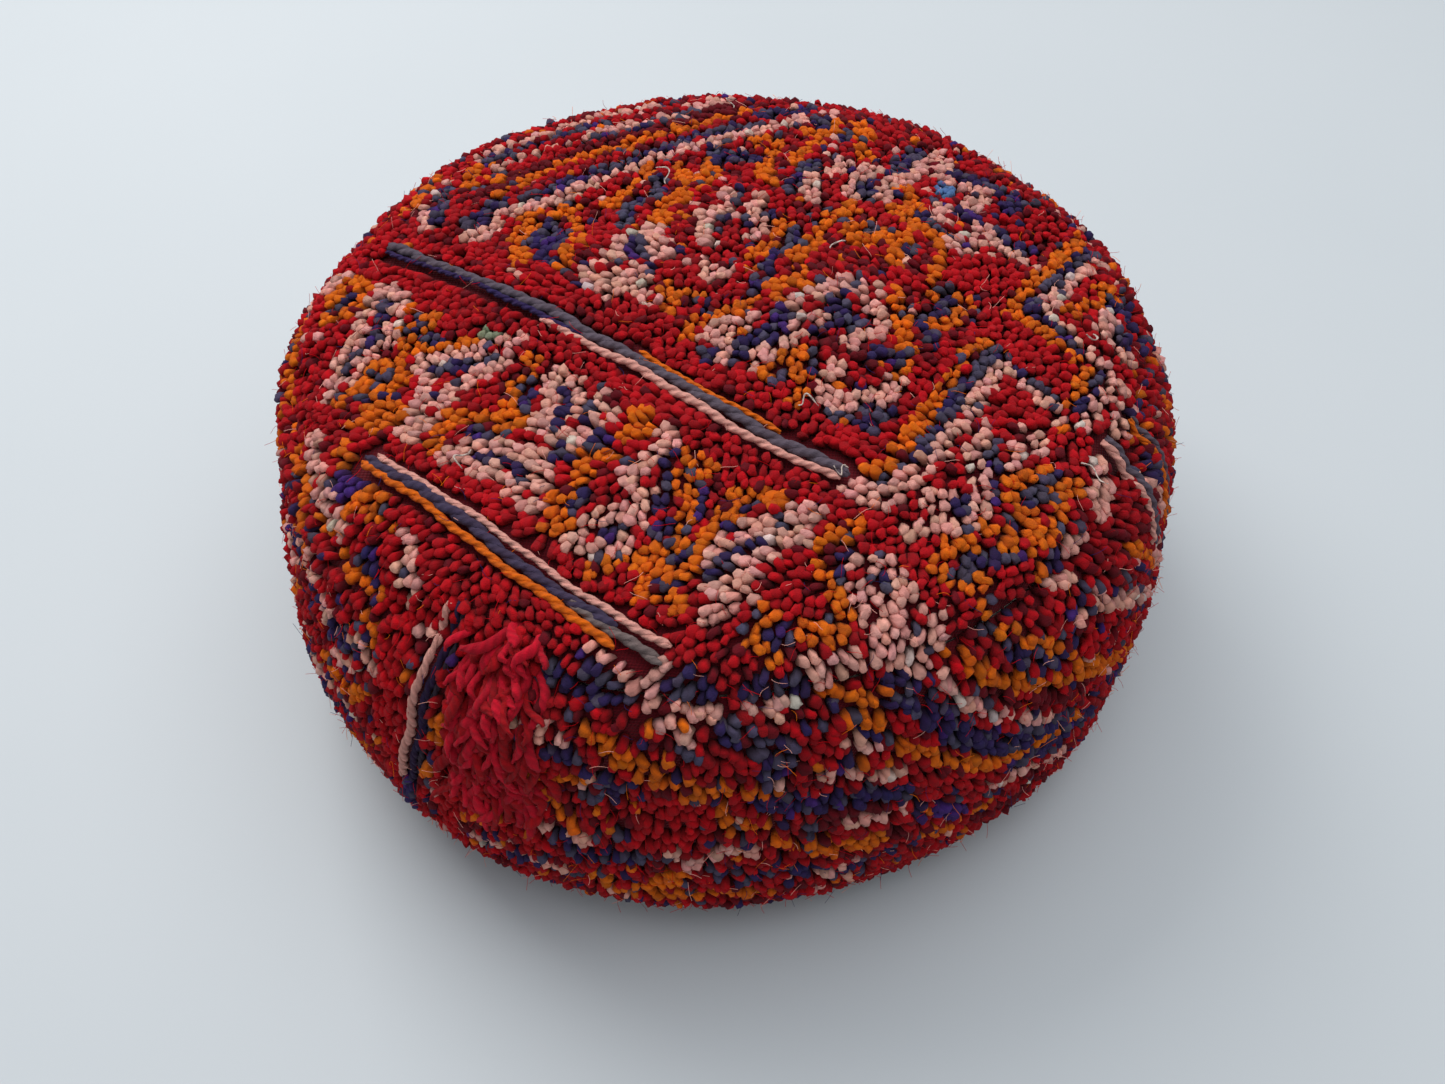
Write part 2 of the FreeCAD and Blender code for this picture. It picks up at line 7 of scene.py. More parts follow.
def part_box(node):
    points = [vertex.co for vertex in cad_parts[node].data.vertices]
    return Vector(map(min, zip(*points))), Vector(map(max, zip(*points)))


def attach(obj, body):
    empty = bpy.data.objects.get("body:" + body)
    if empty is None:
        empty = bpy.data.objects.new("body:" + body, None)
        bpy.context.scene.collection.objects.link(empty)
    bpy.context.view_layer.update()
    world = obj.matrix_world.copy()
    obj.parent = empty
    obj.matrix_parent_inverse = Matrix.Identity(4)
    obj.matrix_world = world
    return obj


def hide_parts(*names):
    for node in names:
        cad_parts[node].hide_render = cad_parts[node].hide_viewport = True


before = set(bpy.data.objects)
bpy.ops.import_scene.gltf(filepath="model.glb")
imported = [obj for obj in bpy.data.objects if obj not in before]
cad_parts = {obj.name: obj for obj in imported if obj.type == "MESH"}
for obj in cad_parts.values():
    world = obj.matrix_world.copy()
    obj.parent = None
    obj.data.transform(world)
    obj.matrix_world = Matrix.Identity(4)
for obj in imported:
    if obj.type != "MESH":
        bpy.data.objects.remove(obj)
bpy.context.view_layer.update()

# A round floor pouf sewn from an old knotted wool rug, in metres, on the floor at the origin.
# The cover is worked out as one soft skin; the knots, cords, stitches and loose ends are then set on it.

MM = 0.001
SEED = 7
YARN = np.random.default_rng(SEED)

# ------------------------------------------------------------------ the outline
CROWN_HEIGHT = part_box("top_panel_ground")[1][2]
CROWN_RADIUS = 824 * MM
SHOULDER_RADIUS = 70 * MM
SHOULDER_REACH = 172.5 * MM
SIDE_RADIUS = 383 * MM
WIDEST_HEIGHT = 85 * MM
HEEL_RADIUS = 58 * MM
TOP_SEAM_ANGLE = math.radians(46)
BASE_SEAM_ANGLE = math.radians(-45)
WEAVE_ANGLE = math.radians(-38.4)


def outline_arcs():
    """Centre, radius and start angle of the arcs that the skin follows from the crown to the floor."""
    rise = math.sqrt((CROWN_RADIUS - SHOULDER_RADIUS) ** 2 - SHOULDER_REACH ** 2)
    crown = (0.0, CROWN_HEIGHT - CROWN_RADIUS)
    shoulder = (SHOULDER_REACH, crown[1] + rise)
    drop = shoulder[1] - WIDEST_HEIGHT
    run = math.sqrt((SIDE_RADIUS - SHOULDER_RADIUS) ** 2 - drop ** 2)
    side = (shoulder[0] - run, WIDEST_HEIGHT)
    heel_drop = WIDEST_HEIGHT - HEEL_RADIUS
    heel_run = math.sqrt((SIDE_RADIUS - HEEL_RADIUS) ** 2 - heel_drop ** 2)
    heel = (side[0] + heel_run, HEEL_RADIUS)
    return [
        (crown, CROWN_RADIUS, math.pi / 2),
        (shoulder, SHOULDER_RADIUS, math.pi / 2 - math.atan2(SHOULDER_REACH, rise)),
        (side, SIDE_RADIUS, math.atan2(drop, run)),
        (heel, HEEL_RADIUS, -math.atan2(heel_drop, heel_run)),
    ]


ARCS = outline_arcs()
ARC_ENDS = [arc[2] for arc in ARCS[1:]] + [-math.pi / 2]
ARC_STARTS = [0.0]
for (_, arc_radius, arc_start), arc_end in zip(ARCS, ARC_ENDS):
    ARC_STARTS.append(ARC_STARTS[-1] + arc_radius * (arc_start - arc_end))
TOP_SEAM = ARC_STARTS[1] + SHOULDER_RADIUS * (ARCS[1][2] - TOP_SEAM_ANGLE)
BASE_SEAM = ARC_STARTS[3] + HEEL_RADIUS * (ARCS[3][2] - BASE_SEAM_ANGLE)


def outline(along):
    """Distance from the axis, height, and slope angle of the outline, by distance from the crown."""
    along = np.asarray(along, float)
    reach = np.zeros_like(along)
    height = np.zeros_like(along)
    angle = np.zeros_like(along)
    for (centre, radius, start), low, high in zip(ARCS, ARC_STARTS, ARC_STARTS[1:]):
        here = (along >= low) & ((along <= high) | (high == ARC_STARTS[-1]))
        turned = start - (along[here] - low) / radius
        reach[here] = centre[0] + radius * np.cos(turned)
        height[here] = centre[1] + radius * np.sin(turned)
        angle[here] = turned
    return reach, height, angle


def along_from_reach(reach):
    """Distance from the crown along the top skin, for a distance from the axis."""
    reach = np.asarray(reach, float)
    crown = CROWN_RADIUS * np.arcsin(np.clip(reach / CROWN_RADIUS, 0, 1))
    cosine = np.clip((reach - SHOULDER_REACH) / SHOULDER_RADIUS, 0, 1)
    shoulder = ARC_STARTS[1] + SHOULDER_RADIUS * (ARCS[1][2] - np.arccos(cosine))
    return np.where(crown <= ARC_STARTS[1], crown, shoulder)


# Where the stuffing swells or slackens: azimuth in degrees, distance from the crown, both widths, height.
LUMPS = [
    (-122, 0.330, 28, 0.070, 7.0),
    (180, 0.290, 26, 0.060, -7.5),
    (138, 0.300, 24, 0.080, 6.0),
    (92, 0.300, 30, 0.090, -4.0),
    (15, 0.300, 22, 0.080, 6.5),
    (-38, 0.330, 24, 0.070, 3.5),
    (-80, 0.350, 18, 0.050, -2.5),
    (-95, 0.225, 30, 0.016, 3.0),
    (-55, 0.225, 24, 0.018, 2.5),
    (178, 0.232, 14, 0.020, 5.0),
    (200, 0.262, 12, 0.014, -6.0),
    (40, 0.110, 50, 0.050, 2.5),
    (-150, 0.120, 45, 0.050, -2.5),
    (-100, 0.285, 30, 0.014, -4.0),
]
SEAM_PINCH = 4.5 * MM
SEAM_PINCH_WIDTH = 7 * MM


def relief(azimuth, along):
    """How far the stuffed cover stands off its plain outline."""
    rise = np.zeros_like(along)
    for degrees, centre, spread, width, height in LUMPS:
        turn = np.degrees(azimuth) - degrees
        turn = (turn + 180) % 360 - 180
        rise += height * MM * np.exp(-(turn / spread) ** 2 - ((along - centre) / width) ** 2)
    wave = np.sin(azimuth * 5 + 1.3) * np.sin(along * 41 + 0.7)
    wave += np.sin(azimuth * 9 - 0.4) * np.sin(along * 63)
    rise += 1.1 * MM * wave * np.clip(along / 0.12, 0, 1)
    rise -= SEAM_PINCH * np.exp(-((along - TOP_SEAM) / SEAM_PINCH_WIDTH) ** 2)
    grounded = np.clip((along - BASE_SEAM + 0.03) / 0.03, 0, 1)
    return rise * (1 - grounded)


# ------------------------------------------------------------------- the cover
AZIMUTH_STEPS = 300
ALONG_STEP = 4 * MM
ALONG_COUNT = int(round(BASE_SEAM / ALONG_STEP)) + 1


class Cover:
    """The soft skin of the cover, kept as a grid of points from the crown down to the base seam."""

    def __init__(self):
        self.along = np.linspace(0, BASE_SEAM, ALONG_COUNT)
        self.azimuth = np.linspace(-math.pi, math.pi, AZIMUTH_STEPS, endpoint=False)
        turn, along = np.meshgrid(self.azimuth, self.along)
        reach, height, angle = outline(along)
        rise = relief(turn, along)
        reach = reach + rise * np.cos(angle)
        height = height + rise * np.sin(angle)
        self.points = np.stack([reach * np.cos(turn), reach * np.sin(turn), height], -1)
        self.points[0] = self.points[0].mean(0)
        self.find_normals()

    def find_normals(self):
        """Outward directions from the grid's own slopes."""
        around = np.roll(self.points, -1, 1) - np.roll(self.points, 1, 1)
        down = np.gradient(self.points, axis=0)
        normals = np.cross(down, around)
        normals[0] = (0, 0, 1)
        self.normals = normals / np.linalg.norm(normals, axis=-1, keepdims=True)

    def sample(self, grid, azimuth, along):
        """A grid's value between its points."""
        column = (azimuth + math.pi) / (2 * math.pi) * AZIMUTH_STEPS
        left = np.floor(column).astype(int)
        across = (column - left)[..., None]
        row = np.clip(along / BASE_SEAM * (ALONG_COUNT - 1), 0, ALONG_COUNT - 1.001)
        upper = np.floor(row).astype(int)
        down = (row - upper)[..., None]
        left = left % AZIMUTH_STEPS
        right = (left + 1) % AZIMUTH_STEPS
        first = grid[upper, left] * (1 - across) + grid[upper, right] * across
        second = grid[upper + 1, left] * (1 - across) + grid[upper + 1, right] * across
        return first * (1 - down) + second * down

    def at(self, azimuth, along):
        """Points on the skin and their outward directions."""
        normal = self.sample(self.normals, azimuth, along)
        normal /= np.linalg.norm(normal, axis=-1, keepdims=True)
        return self.sample(self.points, azimuth, along), normal


def weave_to_skin(run, across):
    """Azimuth and distance from the crown of a place in the rug's own directions."""
    x = run * math.cos(WEAVE_ANGLE) - across * math.sin(WEAVE_ANGLE)
    y = run * math.sin(WEAVE_ANGLE) + across * math.cos(WEAVE_ANGLE)
    return np.arctan2(y, x), along_from_reach(np.hypot(x, y))


# ---------------------------------------------------------------- yarn colours
def shade(red, green, blue):
    """A colour as it looks on a screen, made linear."""
    return np.array([(value / 255) ** 2.2 for value in (red, green, blue)])


SHADES = {
    "red": shade(186, 4, 24),
    "deep_red": shade(160, 5, 22),
    "maroon": shade(102, 10, 26),
    "orange": shade(228, 106, 10),
    "pink": shade(234, 166, 152),
    "slate": shade(74, 74, 96),
    "navy": shade(40, 40, 86),
    "purple": shade(62, 40, 112),
    "white": shade(230, 212, 200),
    "blue": shade(84, 124, 176),
    "green": shade(128, 140, 116),
}
SHADE_NAMES = list(SHADES)
SHADE_TABLE = np.array([SHADES[name] for name in SHADE_NAMES])

# Figures of the rug's top, in millimetres along and across the weave: strokes of knots, each with its
# shade, half its width and the places that it steps through. Later strokes lie over earlier ones.
LEFT_FIELD = [
    ("slate", 4, [
        (-135, 4), (-124, 26), (-116, 46), (-108, 64),
        (-100, 86), (-91, 106), (-82, 124), (-70, 142)
    ]),
    ("pink", 4, [
        (-125, -2), (-116, 16), (-109, 36), (-101, 58),
        (-95, 76), (-83, 94), (-73, 120), (-63, 138)
    ]),
    ("pink", 4, [(-63, 138), (-56, 156), (-48, 172)]),
    ("orange", 4, [(-153, 0), (-148, 24), (-140, 46), (-132, 66), (-118, 92), (-104, 118), (-90, 152)]),
    ("maroon", 4, [(-162, -8), (-156, 24), (-144, 58), (-128, 90), (-112, 122), (-98, 150)]),
    ("slate", 4, [(-172, 0), (-166, 34), (-150, 72), (-134, 104), (-118, 136)]),
    ("pink", 3, [(-176, 26), (-168, 48), (-156, 66), (-148, 86), (-134, 108), (-120, 130)]),
    ("slate", 3, [(-190, 26), (-180, 50), (-166, 76), (-152, 100)]),
    ("red", 5, [(-168, 30), (-160, 46), (-152, 60)]),
    ("pink", 3, [(-198, 30), (-188, 52), (-174, 84), (-162, 110), (-146, 134)]),
    ("maroon", 4, [(-112, 136), (-104, 150), (-92, 164)]),
    ("pink", 3, [(-108, 164), (-116, 148), (-126, 140)]),
    ("navy", 4, [(-76, 150), (-66, 166), (-60, 178)]),
    ("orange", 4, [(-188, 18), (-178, 2), (-166, 12)]),
    ("pink", 4, [(-191, -2), (-184, -18), (-180, -30), (-170, -40)]),
    ("slate", 4, [(-187, -6), (-177, -22), (-166, -34)]),
    ("orange", 4, [(-206, 4), (-200, -12), (-194, -30)]),
    ("slate", 5, [(-145, -4), (-148, -28)]),
    ("pink", 4, [(-131, 0), (-136, -14), (-133, -28), (-140, -38)]),
]
MIDDLE_FIELD = [
    ("slate", 5, [(-106, -10), (-98, -22)]),
    ("orange", 4, [(-121, -4), (-111, -14), (-118, -22), (-107, -30), (-99, -39)]),
    ("orange", 4, [(-110, 2), (-102, 10), (-94, 3)]),
    ("navy", 4, [(-93, -12), (-90, -30), (-80, -34)]),
    ("orange", 4, [(-90, 0), (-83, -12), (-79, -24), (-74, -32)]),
    ("orange", 4, [(-92, 66), (-88, 52), (-92, 40), (-84, 34), (-88, 24)]),
    ("slate", 4, [(-78, 56), (-70, 40), (-76, 26), (-68, 12)]),
    ("orange", 4, [(-77, 72), (-70, 64), (-58, 56), (-54, 46), (-60, 34), (-52, 24)]),
    ("orange", 5, [(-63, 86), (-56, 76), (-57, 62)]),
    ("navy", 5, [(-70, 100), (-62, 90), (-54, 104), (-44, 104)]),
    ("orange", 4, [(-64, 122), (-52, 132), (-45, 120), (-41, 108), (-33, 90), (-25, 88)]),
    ("orange", 4, [(-28, 142), (-30, 126), (-23, 112)]),
    ("slate", 5, [(-28, 168), (-18, 160), (-50, 168)]),
    ("orange", 4, [
        (-44, 152), (-36, 149), (-30, 160), (-37, 174),
        (-26, 184), (-16, 172), (-8, 154), (-1, 148)
    ]),
    ("slate", 4, [(-36, 68), (-27, 56), (-25, 38)]),
    ("pink", 4, [(-39, 66), (-30, 50), (-35, 40), (-26, 28), (-17, 23)]),
    ("navy", 4, [(-14, 52), (-6, 60), (0, 48)]),
    ("pink", 4, [(-21, 68), (-14, 58), (-6, 50), (-3, 40)]),
    ("slate", 4, [(-18, 120), (-14, 104), (-12, 86)]),
    ("pink", 4, [(-8, 132), (-3, 120), (-8, 108), (-5, 94), (2, 88)]),
    ("slate", 4, [(-54, 4), (-46, -4), (-40, 6)]),
    ("pink", 4, [(-57, 12), (-48, 15), (-41, 6), (-34, 0)]),
    ("pink", 4, [(-62, -2), (-54, -10), (-60, -20)]),
    ("slate", 3, [(-62, -28), (-56, -38)]),
    ("pink", 4, [(-58, -29), (-49, -35), (-42, -38), (-38, -30), (-47, -25)]),
    ("slate", 4, [(-34, -10), (-26, -20)]),
    ("pink", 4, [(-39, -14), (-30, -20), (-23, -29), (-12, -32)]),
    ("orange", 4, [(-3, -14), (-13, -22), (-3, -29)]),
    ("pink", 4, [(-12, 10), (-4, 2), (4, 10)]),
    ("navy", 6, [(10, 128), (24, 108), (30, 122)]),
    ("pink", 4, [(2, 132), (14, 136), (8, 118), (18, 102)]),
    ("slate", 5, [(22, 160), (24, 140), (18, 176)]),
    ("pink", 4, [(25, 186), (30, 152), (27, 126), (33, 112)]),
    ("navy", 5, [(40, 170), (50, 172), (90, 176), (86, 160)]),
    ("pink", 4, [(36, 176), (40, 160), (54, 160), (68, 168), (72, 150), (69, 134)]),
    ("navy", 4, [(58, 132), (78, 134), (98, 132), (114, 134)]),
    ("pink", 4, [(61, 130), (66, 118)]),
    ("pink", 4, [(86, 130), (100, 124), (116, 122)]),
    ("slate", 4, [(48, 112), (58, 118), (60, 104), (86, 108)]),
    ("orange", 4, [(36, 130), (50, 121), (44, 108), (58, 106), (72, 104), (84, 94), (88, 80)]),
    ("pink", 4, [(78, 110), (88, 99), (98, 112), (84, 119)]),
    ("slate", 4, [(26, 82), (38, 80), (54, 88), (68, 84)]),
    ("orange", 4, [(20, 74), (24, 93), (36, 88), (34, 75), (46, 70), (50, 86)]),
    ("orange", 4, [(62, 98), (60, 82), (68, 70)]),
    ("navy", 4, [(100, 70), (104, 54), (98, 40), (112, 32)]),
    ("orange", 4, [(96, 60), (91, 76), (110, 71), (112, 52), (106, 44)]),
    ("orange", 4, [(80, 52), (90, 40), (97, 28), (108, 17), (112, 4)]),
    ("slate", 4, [(8, 58), (16, 46), (14, 30), (22, 12)]),
    ("orange", 4, [(3, 60), (9, 48), (6, 34), (12, 20)]),
    ("orange", 4, [(24, 64), (26, 54), (22, 44), (31, 34), (39, 26), (30, 15), (38, 6)]),
    ("slate", 5, [(50, 34), (62, 26), (66, 10), (76, 18)]),
    ("pink", 4, [(48, 24), (54, 36), (60, 45), (70, 36), (82, 32), (88, 18), (80, 4)]),
    ("pink", 4, [(44, 14), (52, 4), (60, 12)]),
    ("navy", 4, [(94, 6), (106, 12)]),
    ("orange", 4, [(25, 0), (26, -10), (19, -18), (13, -28), (12, -38)]),
    ("navy", 5, [(44, 0), (49, -12), (43, -24), (42, -38), (32, -44)]),
    ("pink", 4, [(33, -16), (26, -24), (21, -34), (30, -31), (38, -41)]),
    ("pink", 4, [(56, -4), (58, -16), (50, -28), (57, -36)]),
    ("slate", 4, [(70, -12), (74, -20), (64, -38)]),
    ("orange", 4, [(65, -16), (70, -26), (78, -31), (80, -40)]),
    ("orange", 3, [(61, -24), (60, -36)]),
    ("slate", 4, [(100, -36), (110, -27), (120, -20), (116, -32)]),
    ("pink", 4, [(84, -12), (86, -26), (93, -33), (101, -28), (104, -19), (112, -14), (116, -4)]),
]
BORDER_FIELD = [
    ("red", 14, [(142, 66), (166, 64)]),
    ("red", 10, [(154, 32), (174, 28)]),
    ("red", 12, [(100, 90), (112, 100)]),
    ("orange", 4.5, [(129, 170), (130, 86)]),
    ("slate", 3.5, [(137, 166), (137, 90)]),
    ("pink", 3.5, [(143, 164), (143, 94)]),
    ("pink", 3, [(150, 92), (168, 87), (190, 82)]),
    ("slate", 3, [(138, 85), (160, 83), (184, 78)]),
    ("orange", 3, [(132, 79), (152, 79), (174, 76)]),
    ("orange", 4, [(177, 74), (183, 62), (184, 50)]),
    ("slate", 3.5, [(188, 76), (189, 60), (186, 46)]),
    ("pink", 3.5, [(195, 82), (193, 60), (194, 40), (182, 34)]),
    ("slate", 3, [(137, 50), (156, 46), (178, 44)]),
    ("pink", 3, [(142, 44), (166, 42), (180, 38)]),
    ("orange", 4, [(130, 52), (132, 20), (135, -4), (134, -28), (138, -44), (131, -57), (124, -62)]),
    ("slate", 3.5, [(138, 50), (139, 20), (142, -6), (142, -26), (145, -42), (139, -58)]),
    ("pink", 4, [(146, 42), (147, 16), (149, -6), (151, -24), (147, -46), (146, -62), (128, -66)]),
    ("pink", 4, [(205, 82), (206, 60), (208, 46)]),
    ("slate", 3.5, [(208, 76), (220, 78), (234, 76)]),
    ("orange", 3.5, [(213, 64), (224, 69), (236, 70)]),
    ("orange", 3.5, [(211, 48), (224, 50), (238, 52)]),
    ("orange", 4, [(164, 152), (156, 136), (161, 122), (152, 104)]),
    ("slate", 4, [(172, 144), (168, 130)]),
    ("navy", 5, [(180, 112), (184, 140), (196, 130)]),
    ("pink", 3.5, [(170, 124), (170, 108), (190, 105), (188, 122)]),
    ("slate", 4, [(168, -4), (176, -18), (181, -28), (172, -46)]),
    ("pink", 4, [(160, 2), (164, -14), (172, -23), (180, -34), (184, -45), (172, -55), (163, -70)]),
    ("pink", 4, [(166, -40), (158, -48), (168, -52)]),
    ("slate", 4, [(196, 4), (196, -14), (197, -33), (205, -46), (190, -66)]),
    ("orange", 4, [(192, 2), (186, -12), (190, -23), (202, -25), (206, -35), (197, -43), (188, -42)]),
    ("orange", 4, [(188, -54), (179, -66), (184, -76), (197, -75), (202, -67), (213, -77)]),
    ("orange", 4, [(208, 10), (204, -4), (214, -18), (212, -32), (220, -48)]),
    ("slate", 4, [(218, -26), (226, -42), (232, -54)]),
    ("pink", 4, [(228, 4), (222, -14), (225, -28), (233, -40)]),
    ("pink", 4, [(176, 18), (186, 12), (176, 4), (182, -4)]),
    ("pink", 4, [(210, 26), (222, 20), (214, 10), (228, 8)]),
]
BAND_FIELD = [
    ("slate", 4, [(-171, -100), (-172, -110)]),
    ("orange", 4, [
        (-176, -88), (-166, -92), (-162, -102), (-163, -113),
        (-173, -117), (-180, -106), (-180, -94)
    ]),
    ("pink", 4, [(-188, -88), (-190, -100), (-196, -90)]),
    ("slate", 5, [(-147, -94), (-138, -106), (-131, -124), (-130, -142)]),
    ("pink", 4, [(-156, -87), (-140, -87), (-130, -104), (-121, -118), (-124, -134), (-121, -146)]),
    ("pink", 4, [(-155, -98), (-149, -112), (-140, -122), (-138, -137), (-132, -148), (-124, -156)]),
    ("slate", 4, [(-118, -100), (-110, -108), (-98, -106)]),
    ("orange", 4, [(-128, -94), (-116, -91), (-109, -98)]),
    ("orange", 4, [(-122, -104), (-108, -117), (-96, -114), (-84, -102), (-72, -91)]),
    ("slate", 5, [(-66, -98), (-77, -111), (-86, -122)]),
    ("pink", 4, [(-59, -84), (-64, -92), (-73, -101), (-85, -110), (-95, -118), (-93, -127)]),
    ("navy", 4, [(-66, -132), (-77, -137)]),
    ("pink", 4, [(-56, -98), (-60, -112), (-67, -124), (-61, -136), (-64, -147), (-62, -157)]),
    ("pink", 4, [(-83, -128), (-74, -140), (-70, -156)]),
    ("slate", 4, [(-104, -134), (-110, -150), (-89, -147)]),
    ("orange", 4, [(-117, -159), (-112, -146), (-115, -134), (-104, -126), (-94, -134), (-100, -146)]),
    ("orange", 4, [(-96, -154), (-84, -149), (-77, -153), (-84, -161), (-98, -163)]),
    ("slate", 4, [(-38, -102), (-30, -112), (-24, -130), (-37, -142)]),
    ("orange", 4, [(-46, -89), (-40, -98), (-42, -110), (-34, -120), (-22, -125), (-7, -118)]),
    ("orange", 4, [(-30, -129), (-44, -134), (-54, -141), (-50, -156)]),
    ("navy", 4, [(-18, -98), (-10, -108), (-6, -116)]),
    ("pink", 4, [(-30, -92), (-17, -91), (-6, -98), (0, -106)]),
    ("pink", 4, [(-26, -100), (-16, -110), (-13, -122), (-1, -124)]),
    ("navy", 4, [(-28, -150), (-15, -146), (-2, -143)]),
    ("pink", 4, [(-40, -158), (-34, -150), (-22, -141), (-12, -139), (-3, -135)]),
    ("pink", 4, [(-24, -157), (-8, -152), (4, -156)]),
    ("slate", 4, [(2, -100), (8, -104), (5, -148)]),
    ("pink", 4, [(2, -91), (14, -96), (10, -108), (3, -117), (14, -123)]),
    ("pink", 4, [(3, -139), (12, -146), (6, -156), (17, -159)]),
    ("slate", 4, [(32, -100), (20, -112), (17, -126), (30, -148)]),
    ("orange", 4, [(24, -91), (34, -95), (29, -105), (26, -116), (38, -117)]),
    ("orange", 4, [(19, -124), (27, -135), (22, -147), (29, -161), (38, -156)]),
    ("navy", 4, [(52, -104), (59, -112), (61, -126), (54, -148)]),
    ("pink", 4, [
        (40, -92), (50, -96), (44, -107), (43, -119),
        (54, -123), (56, -136), (45, -142), (44, -152)
    ]),
    ("pink", 4, [(61, -139), (63, -150), (51, -160), (42, -163)]),
    ("slate", 4, [(68, -104), (80, -122), (71, -136)]),
    ("orange", 4, [
        (57, -96), (70, -97), (64, -108), (75, -116),
        (78, -129), (85, -139), (74, -151), (58, -164)
    ]),
    ("slate", 4, [(96, -103), (96, -117), (88, -152), (104, -128)]),
    ("orange", 4, [(109, -91), (98, -94), (89, -101), (88, -113), (98, -109)]),
    ("orange", 4, [(90, -124), (98, -136), (92, -147), (80, -153), (84, -164), (101, -158)]),
    ("slate", 4, [(114, -98), (111, -112), (105, -128), (107, -140)]),
    ("pink", 4, [(124, -87), (116, -94), (127, -101), (118, -108), (106, -108), (99, -122), (98, -134)]),
    ("pink", 4, [(122, -108), (116, -120), (113, -128), (124, -135), (108, -143), (119, -150), (114, -160)]),
    ("slate", 4, [(144, -98), (152, -111), (158, -127), (142, -147)]),
    ("orange", 4, [(142, -83), (136, -94), (140, -106), (149, -116), (159, -119), (164, -130), (150, -135)]),
    ("orange", 4, [(136, -139), (134, -152), (146, -155)]),
    ("slate", 4, [(162, -96), (168, -103), (190, -108), (181, -120), (174, -132)]),
    ("pink", 4, [(152, -96), (162, -88), (177, -92), (174, -104), (160, -108), (172, -115), (183, -106)]),
    ("pink", 4, [(190, -95), (202, -94), (196, -106), (186, -117), (176, -127), (169, -140), (158, -150)]),
    ("orange", 4, [(204, -103), (216, -99), (224, -91)]),
    ("orange", 4, [(172, -152), (188, -141), (199, -136)]),
    ("navy", 6, [(148, -170), (162, -158)]),
]
FRONT_EDGE = [
    ("navy", 5, [(-112, -184), (-96, -196), (-80, -206)]),
    ("pink", 4, [(-118, -178), (-100, -192), (-84, -201), (-64, -208)]),
    ("orange", 5, [(-90, -182), (-74, -188), (-54, -190)]),
    ("purple", 5, [(-80, -192), (-68, -196)]),
    ("orange", 4, [(-64, -200), (-48, -196)]),
    ("orange", 5, [(-88, -218), (-64, -223), (-50, -219)]),
    ("navy", 4, [(-44, -214), (-34, -220)]),
    ("pink", 4, [(-26, -200), (-20, -210), (-12, -215)]),
    ("navy", 7, [(104, -190), (136, -184)]),
    ("slate", 4, [(82, -202), (110, -201), (128, -207)]),
    ("pink", 4, [(84, -196), (104, -194), (120, -201), (136, -198)]),
    ("pink", 4, [(112, -184), (104, -190)]),
    ("navy", 6, [(70, -216), (92, -212)]),
]
ACCENTS = [
    ("green", 4, [(-80, -88), (-74, -88)]),
    ("blue", 4, [(49, 151), (53, 147)]),
    ("maroon", 3, [(8, -90), (10, -90)]),
]
TOP_STROKES = LEFT_FIELD + MIDDLE_FIELD + BORDER_FIELD + BAND_FIELD + FRONT_EDGE + ACCENTS
# The flatwoven lines: first and last place along the weave, where they lie across it, slope, half width.
BARE_LINES = [
    (-178, -20, -63.9, 0.0, 3.6),
    (-20, 124, -65.2, 0.0, 6.2),
    (-78, 104, -179.6, -0.03, 6.2),
    (204, 240, 67.5, 0.0, 4.4),
    (204, 240, 40.5, 0.0, 6.8),
]


def stroke_distance(points, line):
    """Distance of each place to a stepped line."""
    nearest = np.full(len(points), np.inf)
    line = np.array(line, float)
    for start, end in zip(line, line[1:]):
        step = end - start
        share = np.clip(((points - start) @ step) / (step @ step), 0, 1)
        gap = points - start - share[:, None] * step
        nearest = np.minimum(nearest, np.hypot(gap[:, 0], gap[:, 1]))
    return nearest


def work_figures(points, strokes, ground, spread):
    """The yarn of each knot: the last stroke that runs through it, and the ground elsewhere."""
    yarn = ground.copy()
    for name, half_width, line in strokes:
        here = stroke_distance(points, line) < half_width * spread
        yarn[here] = SHADE_NAMES.index(name)
    return yarn


# What each dye lot really holds: a few knots of a neighbouring shade among the rest.
DYE_LOTS = {
    "slate": {"slate": 52, "navy": 40, "purple": 4, "maroon": 4},
    "navy": {"navy": 66, "slate": 28, "purple": 6},
    "pink": {"pink": 93, "white": 3, "slate": 2, "red": 2},
    "orange": {"orange": 91, "maroon": 3, "red": 3, "slate": 3},
}


def mix_lots(yarn):
    """Swap a few knots of each shade for its neighbours."""
    mixed = yarn.copy()
    for name, lot in DYE_LOTS.items():
        here = yarn == SHADE_NAMES.index(name)
        mixed[here] = pick_ground(int(here.sum()), lot)
    return mixed


def pick_ground(count, mix):
    """Ground yarns drawn at random from a mix of shades."""
    names = list(mix)
    shares = np.array([mix[name] for name in names], float)
    picks = YARN.choice(len(names), count, p=shares / shares.sum())
    return np.array([SHADE_NAMES.index(name) for name in names])[picks]


RED_GROUND = {"red": 70, "deep_red": 24, "maroon": 5, "orange": 0.4, "pink": 0.6}
MIXED_GROUND = {"red": 44, "deep_red": 24, "maroon": 20, "slate": 5, "pink": 4, "orange": 3}
SIDE_GROUND = {"red": 40, "deep_red": 30, "maroon": 16, "navy": 6, "slate": 3, "pink": 2, "orange": 3}


# ------------------------------------------------------------------ yarn tubes
PLY_TURN = 1.3
ROOT_DOME = 0.4
TIP_DOME = 0.45


